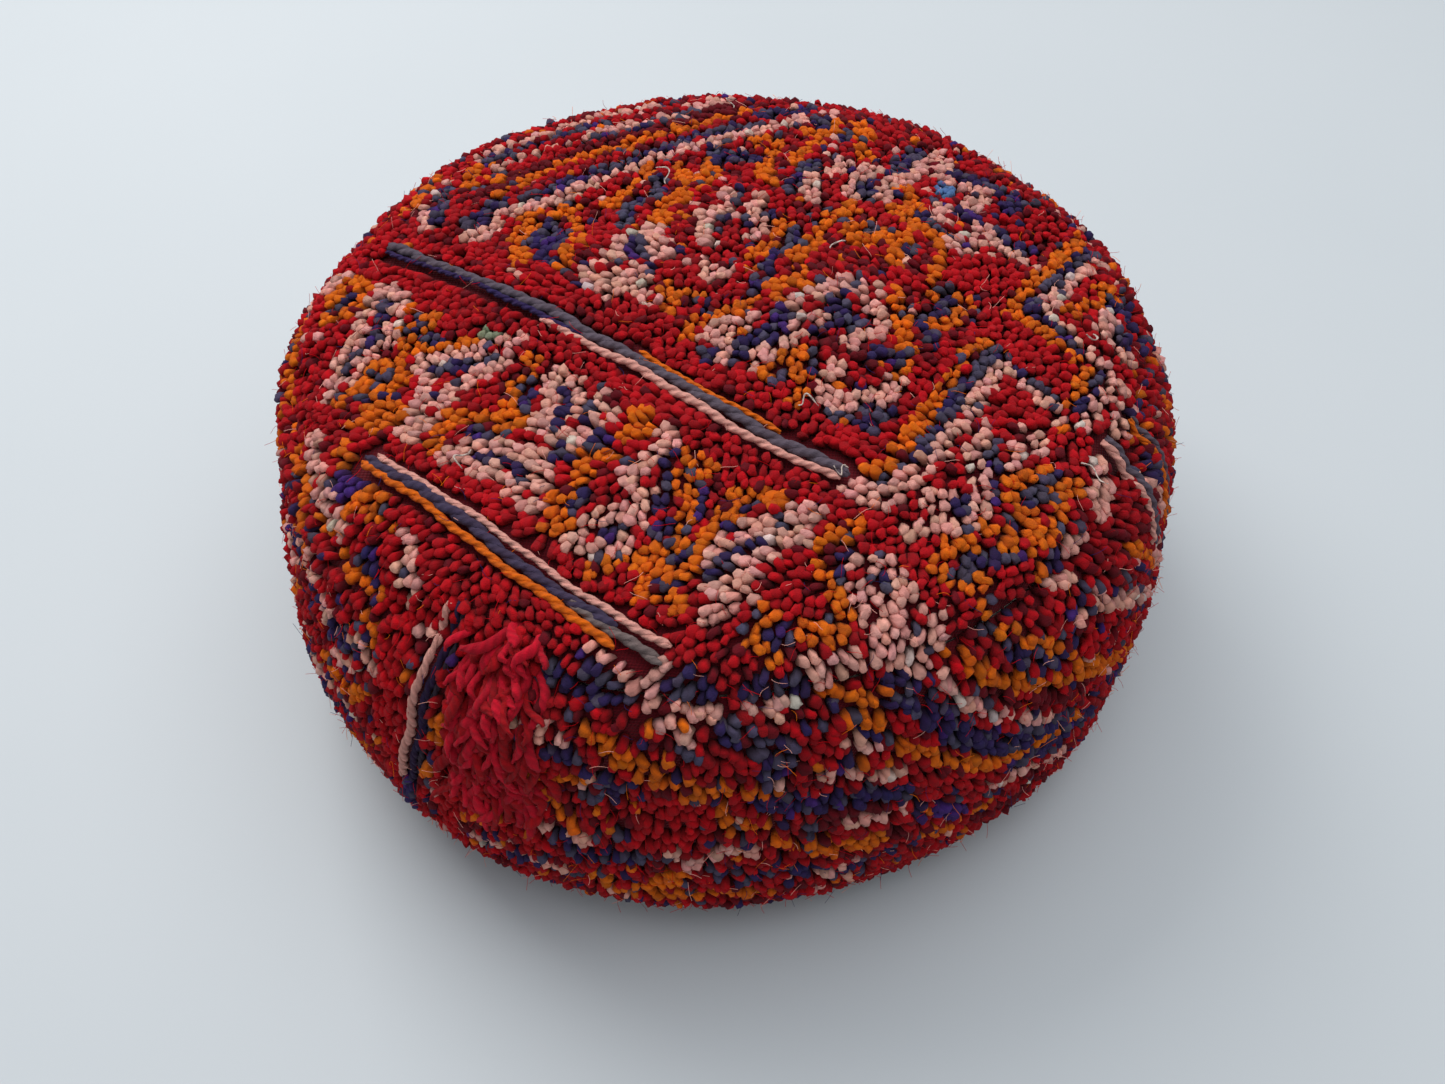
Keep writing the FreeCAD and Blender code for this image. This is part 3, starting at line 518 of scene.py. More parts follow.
def tube_points(paths, radii, sideways, sides, ply_depth, rough):
    """Every tube's rings of points in order, then the tips of its two ends."""
    count, rings, _ = paths.shape
    tangents = np.gradient(paths, axis=1)
    tangents /= np.linalg.norm(tangents, axis=-1, keepdims=True)
    across = np.cross(tangents, sideways[:, None, :])
    across /= np.linalg.norm(across, axis=-1, keepdims=True)
    out = np.cross(across, tangents)
    turn = np.arange(sides) * 2 * math.pi / sides
    ring = (
        np.cos(turn)[:, None] * out[:, :, None, :] + np.sin(turn)[:, None] * across[:, :, None, :]
    )
    if ply_depth:
        lay = YARN.uniform(0, math.pi, count)[:, None] + np.linspace(0, PLY_TURN, rings)[None, :]
        lobes = 1 + ply_depth * np.cos(2 * (turn - lay[:, :, None]))
        ring = ring * lobes[..., None]
    body = paths[:, :, None, :] + radii[:, :, None, None] * ring
    if rough:
        body = body + YARN.normal(0, rough, body.shape)
    points = np.empty((count, rings * sides + 2, 3))
    points[:, :-2] = body.reshape(count, rings * sides, 3)
    points[:, -2] = paths[:, 0] - tangents[:, 0] * radii[:, :1] * ROOT_DOME
    points[:, -1] = paths[:, -1] + tangents[:, -1] * radii[:, -1:] * TIP_DOME
    return points


def tube_faces(rings, sides):
    """One tube's faces by point number: the quads of its wall, and the triangles of its ends."""
    column = np.arange(sides)
    beside = (column + 1) % sides
    quads = []
    for row in range(rings - 1):
        low = row * sides
        high = low + sides
        quads.append(np.stack([low + column, low + beside, high + beside, high + column], -1))
    top = (rings - 1) * sides
    root_tip = rings * sides
    starts = np.stack([np.full(sides, root_tip), beside, column], -1)
    ends = np.stack([np.full(sides, root_tip + 1), top + column, top + beside], -1)
    return np.concatenate(quads), np.concatenate([starts, ends])


def tubes(name, paths, radii, sideways, sides, colours, ring_shading=None, ply_depth=0.0, rough=0.0):
    """Many closed tubes in one mesh. Paths hold one row of centres for each tube."""
    count, rings, _ = paths.shape
    points = tube_points(paths, radii, sideways, sides, ply_depth, rough)
    quads, caps = tube_faces(rings, sides)
    shifts = np.arange(count)[:, None, None] * points.shape[1]
    loops = np.concatenate([(quads[None] + shifts).reshape(-1), (caps[None] + shifts).reshape(-1)])
    quad_count = count * len(quads)
    cap_count = count * len(caps)
    loop_starts = np.concatenate(
        [np.arange(quad_count) * 4, quad_count * 4 + np.arange(cap_count) * 3]
    )
    mesh = bpy.data.meshes.new(name)
    mesh.vertices.add(points.shape[0] * points.shape[1])
    mesh.vertices.foreach_set("co", points.reshape(-1))
    mesh.loops.add(len(loops))
    mesh.loops.foreach_set("vertex_index", loops.astype(np.int32))
    mesh.polygons.add(quad_count + cap_count)
    mesh.polygons.foreach_set("loop_start", loop_starts.astype(np.int32))
    mesh.update(calc_edges=True)
    mesh.polygons.foreach_set("use_smooth", np.ones(quad_count + cap_count, bool))
    paint(mesh, count, rings, sides, colours, ring_shading)
    lay_yarn_map(mesh, paths, count, rings, sides)
    mesh.validate()
    piece = bpy.data.objects.new(name, mesh)
    bpy.context.scene.collection.objects.link(piece)
    return piece


def paint(mesh, count, rings, sides, colours, ring_shading):
    """Give every tube its yarn's colour, and each ring its own share of it: on the knots, painted shade
    towards the root and a little painted light at the tip.
    """
    if ring_shading is None:
        ring_shading = np.ones(rings)
    shades = colours[:, None, None, :] * ring_shading[None, :, None, None]
    shades = np.broadcast_to(shades, (count, rings, sides, 3)).reshape(count, rings * sides, 3)
    ends = np.stack([colours * ring_shading[0], colours * ring_shading[-1]], 1)
    rgb = np.concatenate([shades, ends], 1).reshape(-1, 3)
    rgba = np.concatenate([rgb, np.ones((len(rgb), 1))], 1)
    layer = mesh.color_attributes.new("yarn", "FLOAT_COLOR", "POINT")
    layer.data.foreach_set("color", np.clip(rgba, 0, 1).astype(np.float32).reshape(-1))


def lay_yarn_map(mesh, paths, count, rings, sides):
    """A map with the way round the yarn across and its length, in millimetres, upwards."""
    steps = np.linalg.norm(np.diff(paths, axis=1), axis=-1) / MM
    lengths = np.concatenate([np.zeros((count, 1)), np.cumsum(steps, 1)], 1)
    column = np.arange(sides)
    left = column / sides
    right = (column + 1) / sides
    around = np.tile(np.stack([left, right, right, left], -1), (rings - 1, 1)).reshape(-1)
    around = np.broadcast_to(around, (count, len(around)))
    low = np.repeat(lengths[:, :-1], sides, 1)
    high = np.repeat(lengths[:, 1:], sides, 1)
    upwards = np.stack([low, low, high, high], -1).reshape(count, -1)
    body = np.stack([around, upwards], -1).reshape(-1, 2)
    cap_around = np.tile(np.stack([(left + right) / 2, left, right], -1).reshape(-1), 2)
    cap_up = np.concatenate(
        [np.zeros((count, 3 * sides)), np.repeat(lengths[:, -1:], 3 * sides, 1)], 1
    )
    caps = np.stack([np.broadcast_to(cap_around, cap_up.shape), cap_up], -1).reshape(-1, 2)
    layer = mesh.uv_layers.new(name="yarn_map")
    layer.data.foreach_set("uv", np.concatenate([body, caps]).astype(np.float32).reshape(-1))


# --------------------------------------------------------------------- the pile
KNOT_ALONG_ROW = 5.1 * MM
ROW_PITCH = 4.3 * MM
TOP_PLUMPNESS = 0.99
SIDE_KNOT_ALONG = 4.6 * MM
SIDE_ROW_PITCH = 5.5 * MM
SIDE_PLUMPNESS = 1.05
SIDE_SLOT_TURN = -124.4
SIDE_SLOT_HALF = 1.75
SIDE_SLOT_DEPTH = 102 * MM
KNOT_LENGTH = 8.8 * MM
KNOT_RADIUS = 2.25 * MM
SEEN_STEP = 2
TOP_TURNING = 1.1
SIDE_TURNING = 0.75
LOOSE_RINGS = 15
FIBRE_RINGS = 5
KNOT_PLY_DEPTH = 0.17
KNOT_ROUGHNESS = 0.28 * MM
KNOT_SIDES = 7
KNOT_STEPS = np.array([0.0, 0.36, 0.66, 0.9, 1.0])
KNOT_SWELL = np.array([0.80, 0.98, 1.08, 1.00, 0.62])
# Share of its colour that each ring of a knot gets, root to tip: painted shade that darkens the knot towards
# its root, and a little painted light at its tip.
KNOT_ROOT_SHADE_TIP_LIGHT = np.array([0.30, 0.62, 0.94, 1.02, 1.05])
TOP_PARTS = 8
SIDE_PARTS = 12


def smooth_field(points, size, seed):
    """A soft random value from -1 to 1 that changes slowly from place to place."""
    rng = np.random.default_rng(seed)
    value = np.zeros(len(points))
    for _ in range(6):
        direction = rng.normal(size=3)
        direction *= 2 * math.pi / size / np.linalg.norm(direction) * rng.uniform(0.6, 1.4)
        value += np.sin(points @ direction + rng.uniform(0, 2 * math.pi))
    return value / 3


def unit(vectors):
    """The same directions at a length of one."""
    return vectors / np.maximum(np.linalg.norm(vectors, axis=-1, keepdims=True), 1e-9)


def knot_paths(base, normal, lean, length, start, bend):
    """Centre lines of knots: they leave the ground near its normal and lie over towards lean."""
    steps = KNOT_STEPS[None, :]
    first = start[:, None]
    sweep = bend[:, None]
    rise = (np.sin(first + sweep * steps) - np.sin(first)) / sweep
    reach = (np.cos(first) - np.cos(first + sweep * steps)) / sweep
    along = length[:, None, None]
    return (
        base[:, None, :]
        + normal[:, None, :] * rise[..., None] * along
        + lean[:, None, :] * reach[..., None] * along
    )


def lay_knots(base, normal, lean, turning, share, scatter):
    """Centre lines of a panel's knots, and the way across each."""
    count = len(base)
    swirl = smooth_field(base, 0.10, 3) * turning + YARN.normal(0, scatter, count)
    lean = unit(lean - normal * np.sum(lean * normal, -1, keepdims=True))
    side = np.cross(normal, lean)
    lean = lean * np.cos(swirl)[:, None] + side * np.sin(swirl)[:, None]
    length = KNOT_LENGTH * share * YARN.uniform(0.82, 1.20, count)
    start = YARN.uniform(0.0, 0.40, count)
    bend = YARN.uniform(0.95, 1.65, count)
    paths = knot_paths(base, normal, lean, length, start, bend)
    sideways = np.cross(normal, lean)
    wobble = sideways[:, None, :] * (KNOT_STEPS ** 2)[None, :, None]
    paths = paths + wobble * YARN.normal(0, 0.9 * MM, count)[:, None, None]
    return paths, sideways


def knot_pieces(name, paths, sideways, yarn, plumpness, parts):
    """The pile of one panel, shared out over a few interleaved sets of rows."""
    count = len(paths)
    plump = KNOT_RADIUS * plumpness * YARN.uniform(0.82, 1.18, count)
    radii = plump[:, None] * KNOT_SWELL[None, :]
    colours = SHADE_TABLE[yarn] * YARN.uniform(0.74, 1.16, (count, 1))
    colours = colours * YARN.uniform(0.92, 1.08, (count, 3))
    made = []
    for part in range(parts):
        here = np.arange(count) % parts == part
        piece = tubes(
            "%s_%02d" % (name, part + 1),
            paths[here],
            radii[here],
            sideways[here],
            KNOT_SIDES,
            colours[here],
            KNOT_ROOT_SHADE_TIP_LIGHT,
            KNOT_PLY_DEPTH,
            KNOT_ROUGHNESS,
        )
        made.append(piece)
    return made


def skin_to_weave(points):
    """Where places lie along and across the weave, in millimetres."""
    run = points[..., 0] * math.cos(WEAVE_ANGLE) + points[..., 1] * math.sin(WEAVE_ANGLE)
    across = points[..., 1] * math.cos(WEAVE_ANGLE) - points[..., 0] * math.sin(WEAVE_ANGLE)
    return np.stack([run, across], -1) / MM


def bow(run):
    """How far the flatwoven lines swing across the weave along their length, in millimetres."""
    return 3.5 * np.exp(-((run - 124) / 24) ** 2) - 2.5 * np.exp(-((run - 44) / 46) ** 2)


def bare(paths):
    """Whether a knot of the top would lie over one of the flatwoven lines."""
    flat = skin_to_weave(paths)
    inside = np.zeros(len(paths), bool)
    for start, end, across, slope, half_width in BARE_LINES:
        run = flat[..., 0]
        offset = flat[..., 1] - across - slope * run - bow(run)
        over = (run > start - 2) & (run < end + 2) & (np.abs(offset) < half_width)
        inside |= over.any(-1)
    return inside


def top_pile(cover):
    """Rows of knots along the weave, over the whole round top."""
    widest = SHOULDER_REACH + SHOULDER_RADIUS
    rows = np.arange(-widest, widest, ROW_PITCH)
    places = np.arange(-widest, widest, KNOT_ALONG_ROW)
    run, across = np.meshgrid(places, rows)
    run[1::2] += KNOT_ALONG_ROW / 2
    run = run.reshape(-1)
    across = across.reshape(-1)
    run += YARN.normal(0, 0.6 * MM, len(run))
    across += YARN.normal(0, 0.4 * MM, len(across))
    seam_reach = outline(np.array([TOP_SEAM - 2.5 * MM]))[0][0]
    keep = np.hypot(run, across) < seam_reach
    run, across = run[keep], across[keep]
    azimuth, along = weave_to_skin(run, across)
    base, normal = cover.at(azimuth, along)
    towards = np.array([math.sin(WEAVE_ANGLE), -math.cos(WEAVE_ANGLE), 0])
    paths, sideways = lay_knots(base, normal, np.broadcast_to(towards, base.shape), TOP_TURNING, 0.92, 0.22)
    keep = ~bare(paths)
    paths, sideways = paths[keep], sideways[keep]
    seen = skin_to_weave(paths[:, SEEN_STEP])
    ground = pick_ground(len(seen), RED_GROUND)
    mixed = pick_ground(len(seen), MIXED_GROUND)
    speckled = (seen[:, 1] > -36) & (seen[:, 0] < 122)
    ground[speckled] = mixed[speckled]
    yarn = mix_lots(work_figures(seen, TOP_STROKES, ground, 1.2))
    return knot_pieces("top_pile_rows", paths, sideways, yarn, TOP_PLUMPNESS, TOP_PARTS)


DEGREE_MM = math.radians(1) * 250
SIDE_STROKES = [
    ("navy", 7, [(-112, -4), (-104, 4), (-98, -4), (-90, 4), (-82, 0)]),
    ("slate", 8, [(-90, 16), (-84, 26), (-86, 38)]),
    ("pink", 4, [(-114, -10), (-109, -2), (-105, -12), (-100, -2), (-97, 12), (-94, 18)]),
    ("pink", 4, [(-97, -2), (-93, 8), (-89, 2), (-85, 8), (-81, 0)]),
    ("navy", 5, [(-118, 22), (-111, 28), (-107, 34)]),
    ("pink", 4, [(-117, 17), (-113, 24), (-110, 18)]),
    ("pink", 4, [(-112, 34), (-108, 26)]),
    ("orange", 5, [(-105, 18), (-102, 28), (-98, 36), (-95, 48), (-90, 44), (-85, 50)]),
    ("orange", 4, [(-114, 48), (-109, 52), (-106, 46)]),
    ("slate", 5, [(-104, 44), (-102, 54), (-106, 60)]),
    ("orange", 5, [(-114, 60), (-110, 68), (-107, 80)]),
    ("red", 14, [(-97, 66), (-96, 84)]),
    ("orange", 4, [(-91, 54), (-91, 78), (-87, 74), (-85, 94)]),
    ("slate", 4, [(-82, 82), (-81, 96)]),
    ("pink", 4, [(-112, 88), (-108, 86), (-105, 96)]),
    ("slate", 5, [(-109, 90), (-107, 106), (-98, 100), (-93, 106)]),
    ("pink", 4, [(-97, 96), (-95, 108), (-90, 94), (-87, 100)]),
    ("orange", 4, [(-116, 90), (-119, 102), (-122, 114)]),
    ("slate", 5, [(-119, 128), (-112, 132), (-108, 138)]),
    ("pink", 4, [(-120, 124), (-114, 126), (-109, 132)]),
    ("orange", 5, [(-106, 130), (-103, 146), (-99, 132), (-96, 120)]),
    ("slate", 5, [(-93, 114), (-90, 130), (-84, 124)]),
    ("orange", 5, [(-100, 146), (-92, 140), (-86, 146)]),
    ("navy", 7, [(-78, 6), (-74, 24), (-78, 40)]),
    ("orange", 4, [(-81, -2), (-77, 6), (-73, 12)]),
    ("pink", 4, [(-80, 44), (-76, 54), (-71, 60)]),
    ("pink", 4, [(-78, 26), (-74, 38)]),
    ("navy", 8, [(-86, 60), (-78, 68), (-72, 74)]),
    ("maroon", 6, [(-80, 78), (-74, 82)]),
    ("pink", 4, [(-78, 86), (-73, 88), (-70, 82)]),
    ("orange", 8, [(-82, 100), (-77, 112), (-73, 104)]),
    ("navy", 5, [(-84, 126), (-78, 136), (-72, 128)]),
    ("pink", 4, [(-80, 138), (-76, 128)]),
    ("purple", 6, [(-67, 94), (-64, 112)]),
    ("orange", 5, [(-69, 122), (-64, 130), (-60, 122)]),
    ("navy", 9, [(-71, 6), (-66, 40), (-62, 60), (-56, 76), (-48, 90)]),
    ("maroon", 5, [(-62, 20), (-58, 44), (-50, 66), (-42, 80)]),
    ("pink", 4, [(-70, 0), (-66, 10), (-64, 26), (-61, 42), (-57, 60), (-51, 76)]),
    ("orange", 5, [(-75, 16), (-71, 40), (-67, 60), (-61, 78), (-54, 92), (-46, 104)]),
    ("orange", 5, [(-64, 2), (-61, 20), (-57, 36), (-52, 48), (-44, 60)]),
    ("slate", 5, [(-59, 4), (-55, 26), (-50, 38)]),
    ("orange", 4, [(-57, 8), (-54, 18), (-51, 32)]),
    ("slate", 5, [(-51, -8), (-43, -2), (-46, 22)]),
    ("pink", 4, [(-51, -4), (-46, 8), (-42, 2)]),
    ("pink", 4, [(-47, 24), (-42, 30), (-38, 46), (-34, 60), (-30, 76)]),
    ("orange", 5, [(-49, 50), (-44, 70), (-38, 86), (-34, 104)]),
    ("navy", 6, [(-58, 92), (-50, 104), (-42, 118)]),
    ("pink", 4, [(-60, 100), (-53, 116), (-46, 130)]),
    ("maroon", 7, [(-60, 136), (-52, 140), (-44, 134)]),
    ("orange", 4, [(-36, 18), (-31, 44), (-28, 62)]),
    ("navy", 5, [(-40, 96), (-34, 122), (-26, 140)]),
    ("slate", 5, [(-24, 14), (-20, 40), (-24, 66), (-18, 92)]),
    ("pink", 4, [(-27, 8), (-24, 34), (-28, 60), (-22, 88), (-26, 112)]),
    ("orange", 4, [(-16, 20), (-12, 46), (-16, 74), (-10, 100)]),
]
FLANK_STROKES = [
    ("orange", 6, [(-150, 2), (-143, 6), (-136, 4)]),
    ("orange", 4, [(-137, 10), (-133, 24)]),
    ("navy", 6, [(-148, 26), (-143, 44), (-137, 40), (-135, 30)]),
    ("pink", 4, [(-150, 20), (-146, 30), (-141, 34), (-136, 32), (-132, 38)]),
    ("pink", 4, [(-145, 40), (-141, 56), (-136, 50)]),
    ("orange", 4, [(-134, 58), (-138, 76), (-144, 70)]),
    ("navy", 5, [(-150, 84), (-145, 100), (-139, 92)]),
    ("pink", 4, [(-151, 78), (-146, 90), (-140, 82), (-136, 92)]),
    ("slate", 5, [(-146, 112), (-140, 124)]),
    ("orange", 4, [(-150, 112), (-144, 132), (-137, 112)]),
    ("pink", 4, [(-150, 126), (-142, 140), (-136, 128)]),
]
PLAIN_STROKES = [
    ("red", 11, [(-129.5, -8), (-130, 60), (-131, 130)]),
    ("red", 10, [(-121, -6), (-121, 60), (-124, 130)]),
    ("red", 12, [(-116, -2), (-119, 50), (-120, 90)]),
    ("pink", 6, [(-127.4, 1), (-126.8, 7)]),
    ("purple", 7, [(-124.0, 1), (-123.2, 8)]),
    ("orange", 5, [(-122.6, 42), (-123.6, 52)]),
    ("orange", 5, [(-125.4, 78), (-125.9, 88)]),
    ("navy", 6, [(-129, 108), (-131, 140)]),
]


def turned(strokes, shift, mirror=False):
    """The same strokes further round the side, or the other way about."""
    moved = []
    for name, width, line in strokes:
        line = [((-degrees if mirror else degrees) + shift, down) for degrees, down in line]
        moved.append((name, width, line))
    return moved


def side_figures():
    """Strokes of the side band, in degrees round and millimetres down from the top seam."""
    strokes = turned(SIDE_STROKES, -25, mirror=True)
    strokes += turned(SIDE_STROKES, 196)
    strokes += turned(FLANK_STROKES, -18) + turned(FLANK_STROKES, -36)
    strokes += turned(FLANK_STROKES, 250) + turned(FLANK_STROKES, 268)
    return strokes + FLANK_STROKES + SIDE_STROKES + PLAIN_STROKES


def side_pile(cover):
    """Rows of knots down the side band, over all its panels."""
    rows = np.arange(TOP_SEAM + 2.0 * MM, BASE_SEAM - 1 * MM, SIDE_ROW_PITCH)
    azimuths = []
    alongs = []
    for number, along in enumerate(rows):
        reach = outline(np.array([along]))[0][0]
        count = int(2 * math.pi * reach / SIDE_KNOT_ALONG)
        turn = (np.arange(count) + 0.5 * (number % 2)) * 2 * math.pi / count - math.pi
        azimuths.append(turn + YARN.normal(0, 0.0044, count))
        alongs.append(along + YARN.normal(0, 1.5 * MM, count))
    azimuth = np.concatenate(azimuths)
    azimuth = (azimuth + math.pi) % (2 * math.pi) - math.pi
    along = np.clip(np.concatenate(alongs), 0, BASE_SEAM)
    down = (along - TOP_SEAM) / MM
    bare_side = np.abs(np.degrees(azimuth) - slot_turn(down)) < SIDE_SLOT_HALF
    bare_side &= along < TOP_SEAM + SIDE_SLOT_DEPTH
    azimuth, along = azimuth[~bare_side], along[~bare_side]
    base, normal = cover.at(azimuth, along)
    lower, _ = cover.at(azimuth, np.clip(along + ALONG_STEP, 0, BASE_SEAM))
    upper, _ = cover.at(azimuth, along - ALONG_STEP)
    hang = unit(lower - upper)
    paths, sideways = lay_knots(base, normal, hang, SIDE_TURNING, 0.84, 0.42)
    tip = paths[:, SEEN_STEP]
    turn = np.degrees(np.arctan2(tip[:, 1], tip[:, 0]))
    down = (along - TOP_SEAM + np.sum((tip - base) * hang, -1)) / MM
    seen = np.stack([turn * DEGREE_MM, down], -1)
    figures = []
    for name, width, line in side_figures():
        for whole in (-360, 0, 360):
            scaled = [((degrees + whole) * DEGREE_MM, drop) for degrees, drop in line]
            figures.append((name, width, scaled))
    ground = pick_ground(len(base), SIDE_GROUND)
    yarn = mix_lots(work_figures(seen, figures, ground, 0.85))
    return knot_pieces("side_pile_rows", paths, sideways, yarn, SIDE_PLUMPNESS, SIDE_PARTS)


# ------------------------------------------------------------- long and loose yarns
def loose_yarns(name, starts, normals, ways, lengths, radius, colours, material, lift, curl):
    """Single yarns that leave the pile and wander a little over it."""
    count = len(starts)
    steps = np.linspace(0, 1, LOOSE_RINGS)
    side = np.cross(normals, ways)
    phase = YARN.uniform(0, 2 * math.pi, (count, 1))
    sway = np.sin(steps * YARN.uniform(3, 7, (count, 1)) + phase) * curl * steps
    rise = np.sin(steps * math.pi * 0.55) * lift
    bob = np.sin(steps * YARN.uniform(5, 9, (count, 1)) + phase * 2) * curl * 0.35 * steps
    paths = (
        starts[:, None, :]
        + ways[:, None, :] * (lengths[:, None] * steps)[..., None]
        + side[:, None, :] * sway[..., None]
        + normals[:, None, :] * (rise[None, :] + bob)[..., None]
    )
    taper = np.clip((1 - steps) * 6, 0.5, 1)
    radii = radius * taper[None, :] * YARN.uniform(0.85, 1.15, (count, 1))
    piece = tubes(name, paths, radii, side, 8, colours, None, 0.22, 0.08 * MM)
    finish_piece(piece, material, "pile_wool")


def shaggy_yarns(cover, material):
    """The long untrimmed red yarns beside the side's flatwoven line."""
    count = 150
    azimuth = np.radians(YARN.uniform(-121.2, -111.5, count))
    along = TOP_SEAM + YARN.uniform(-20, 70, count) * MM
    base, normal = cover.at(azimuth, along)
    lower, _ = cover.at(azimuth, along + ALONG_STEP)
    way = unit(lower - base)
    side = np.cross(normal, way)
    way = unit(way + side * YARN.normal(0.12, 0.42, count)[:, None])
    lengths = YARN.uniform(13, 30, count) * MM
    red = np.where(YARN.random(count)[:, None] < 0.55, shade(196, 14, 42), SHADES["deep_red"])
    colours = red * YARN.uniform(0.75, 1.12, (count, 1))
    lift = 8.5 * MM
    loose_yarns("shaggy_yarns", base, normal, way, lengths, 2.15 * MM, colours, material, lift, 4.2 * MM)


def base_edge_yarns(cover, material):
    """Navy ends that have worked loose at the bottom edge."""
    azimuth = np.radians(np.array([-70.5, -69.2, -67.6, -66.1, -64.9, -48.0, 31.0, 33.0, 150.0]))
    along = np.full(len(azimuth), BASE_SEAM - 12 * MM)
    base, normal = cover.at(azimuth, along)
    lower, _ = cover.at(azimuth, along + ALONG_STEP)
    way = unit(lower - base)
    lengths = YARN.uniform(13, 20, len(azimuth)) * MM
    colours = np.tile(SHADES["navy"], (len(azimuth), 1)) * YARN.uniform(0.8, 1.2, (len(azimuth), 1))
    loose_yarns("base_edge_yarns", base, normal, way, lengths, 1.5 * MM, colours, material, 6 * MM, 2 * MM)


def lint_threads(cover, material):
    """A few pale threads caught on the pile."""
    places = [(122, -60), (202, 18), (84, -44), (-70, 50), (35, 55), (-96, 150), (-30, -150), (168, 96)]
    run, across = np.array(places, float).T * MM
    azimuth, along = weave_to_skin(run, across)
    base, normal = cover.at(azimuth, along)
    count = len(places)
    way = unit(np.cross(normal, YARN.normal(0, 1, (count, 3))))
    lengths = YARN.uniform(7, 16, count) * MM
    colours = np.tile(SHADES["white"], (count, 1))
    start = base + normal * 6.5 * MM
    loose_yarns("lint_threads", start, normal, way, lengths, 0.35 * MM, colours, material, 3 * MM, 5 * MM)


def stray_fibres(cover, pile_height):
    """Fine hairs that stand off the wool all over, in four of its shades."""
    shares = {"red": 2600, "pink": 700, "orange": 500, "navy": 500}
    for name, count in shares.items():
        reach = YARN.uniform(0, 1, count) ** 0.5 * BASE_SEAM * 0.98
        azimuth = YARN.uniform(-math.pi, math.pi, count)
        base, normal = cover.at(azimuth, reach)
        way = unit(np.cross(normal, YARN.normal(0, 1, (count, 3))) + normal * 0.35)
        lengths = YARN.uniform(4, 10, count) * MM
        steps = np.linspace(0, 1, FIBRE_RINGS)
        side = np.cross(normal, way)
        sway = np.sin(steps * 3 + YARN.uniform(0, 6, (count, 1))) * 1.2 * MM
        start = base + normal * YARN.uniform(0.5, 1.0, (count, 1)) * pile_height
        paths = (
            start[:, None, :]
            + way[:, None, :] * (lengths[:, None] * steps)[..., None]
            + side[:, None, :] * sway[..., None]
        )
        radii = np.full((count, FIBRE_RINGS), 0.12 * MM)
        colours = np.tile(SHADES[name], (count, 1))
        piece = tubes("stray_fibres_" + name, paths, radii, side, 3, colours)
        material, shader, _ = start_material("fibre_" + name, 0.9, Specular_IOR_Level=0.1)
        # The fibres are given their yarn's shade a little lighter: a painted sheen on the fuzz.
        shader.inputs["Base Color"].default_value = rgba(SHADES[name] * 1.15)
        finish_piece(piece, material, "pile_wool")


# -------------------------------------------------------------------- materials
class Wire:
    """One socket of a material, so that shader sums read as sums."""

    def __init__(self, tree, socket):
        self.tree = tree
        self.socket = socket

    def node(self, kind, settings, inputs, output=0):
        """Any other node: its type, its settings, then its inputs by name or number."""
        made = self.tree.nodes.new(kind)
        for name, value in settings.items():
            setattr(made, name, value)
        for name, value in inputs.items():
            if isinstance(value, Wire):
                self.tree.links.new(value.socket, made.inputs[name])
            else:
                made.inputs[name].default_value = value
        return Wire(self.tree, made.outputs[output])

    def join(self, operation, first, second):
        return self.node("ShaderNodeMath", {"operation": operation}, {0: first, 1: second})

    def __add__(self, other):
        return self.join("ADD", self, other)

    def __radd__(self, other):
        return self.join("ADD", other, self)

    def __sub__(self, other):
        return self.join("SUBTRACT", self, other)

    def __rsub__(self, other):
        return self.join("SUBTRACT", other, self)

    def __mul__(self, other):
        return self.join("MULTIPLY", self, other)

    def __rmul__(self, other):
        return self.join("MULTIPLY", other, self)

    def __truediv__(self, other):
        return self.join("DIVIDE", self, other)

    def __rtruediv__(self, other):
        return self.join("DIVIDE", other, self)


def start_material(name, roughness, **constants):
    """A new material, its shader node and a wire on its object coordinates."""
    material = bpy.data.materials.new(name)
    material.use_nodes = True
    tree = material.node_tree
    shader = tree.nodes["Principled BSDF"]
    shader.inputs["Roughness"].default_value = roughness
    for socket, value in constants.items():
        shader.inputs[socket.replace("_", " ")].default_value = value
    place = tree.nodes.new("ShaderNodeTexCoord")
    return material, shader, Wire(tree, place.outputs["Object"])


def rgba(colour):
    """A colour with full cover, as a shader socket takes it."""
    return (*[float(value) for value in colour], 1.0)


def mottle(place, scale, detail=3.0):
    """Soft grey noise from 0 to 1."""
    return place.node("ShaderNodeTexNoise", {}, {"Vector": place, "Scale": scale, "Detail": detail})


def blend(place, share, first, second):
    """Mix two colours by a share."""
    settings = {"data_type": "RGBA"}
    return place.node("ShaderNodeMix", settings, {0: share, 6: first, 7: second}, 2)


def finish_material(place, shader, colour, height, distance, strength=1.0):
    """Join a material's colour, and its fine relief as bump."""
    place.tree.links.new(colour.socket, shader.inputs["Base Color"])
    inputs = {"Height": height, "Distance": distance, "Strength": strength}
    bump = place.node("ShaderNodeBump", {}, inputs)
    place.tree.links.new(bump.socket, shader.inputs["Normal"])


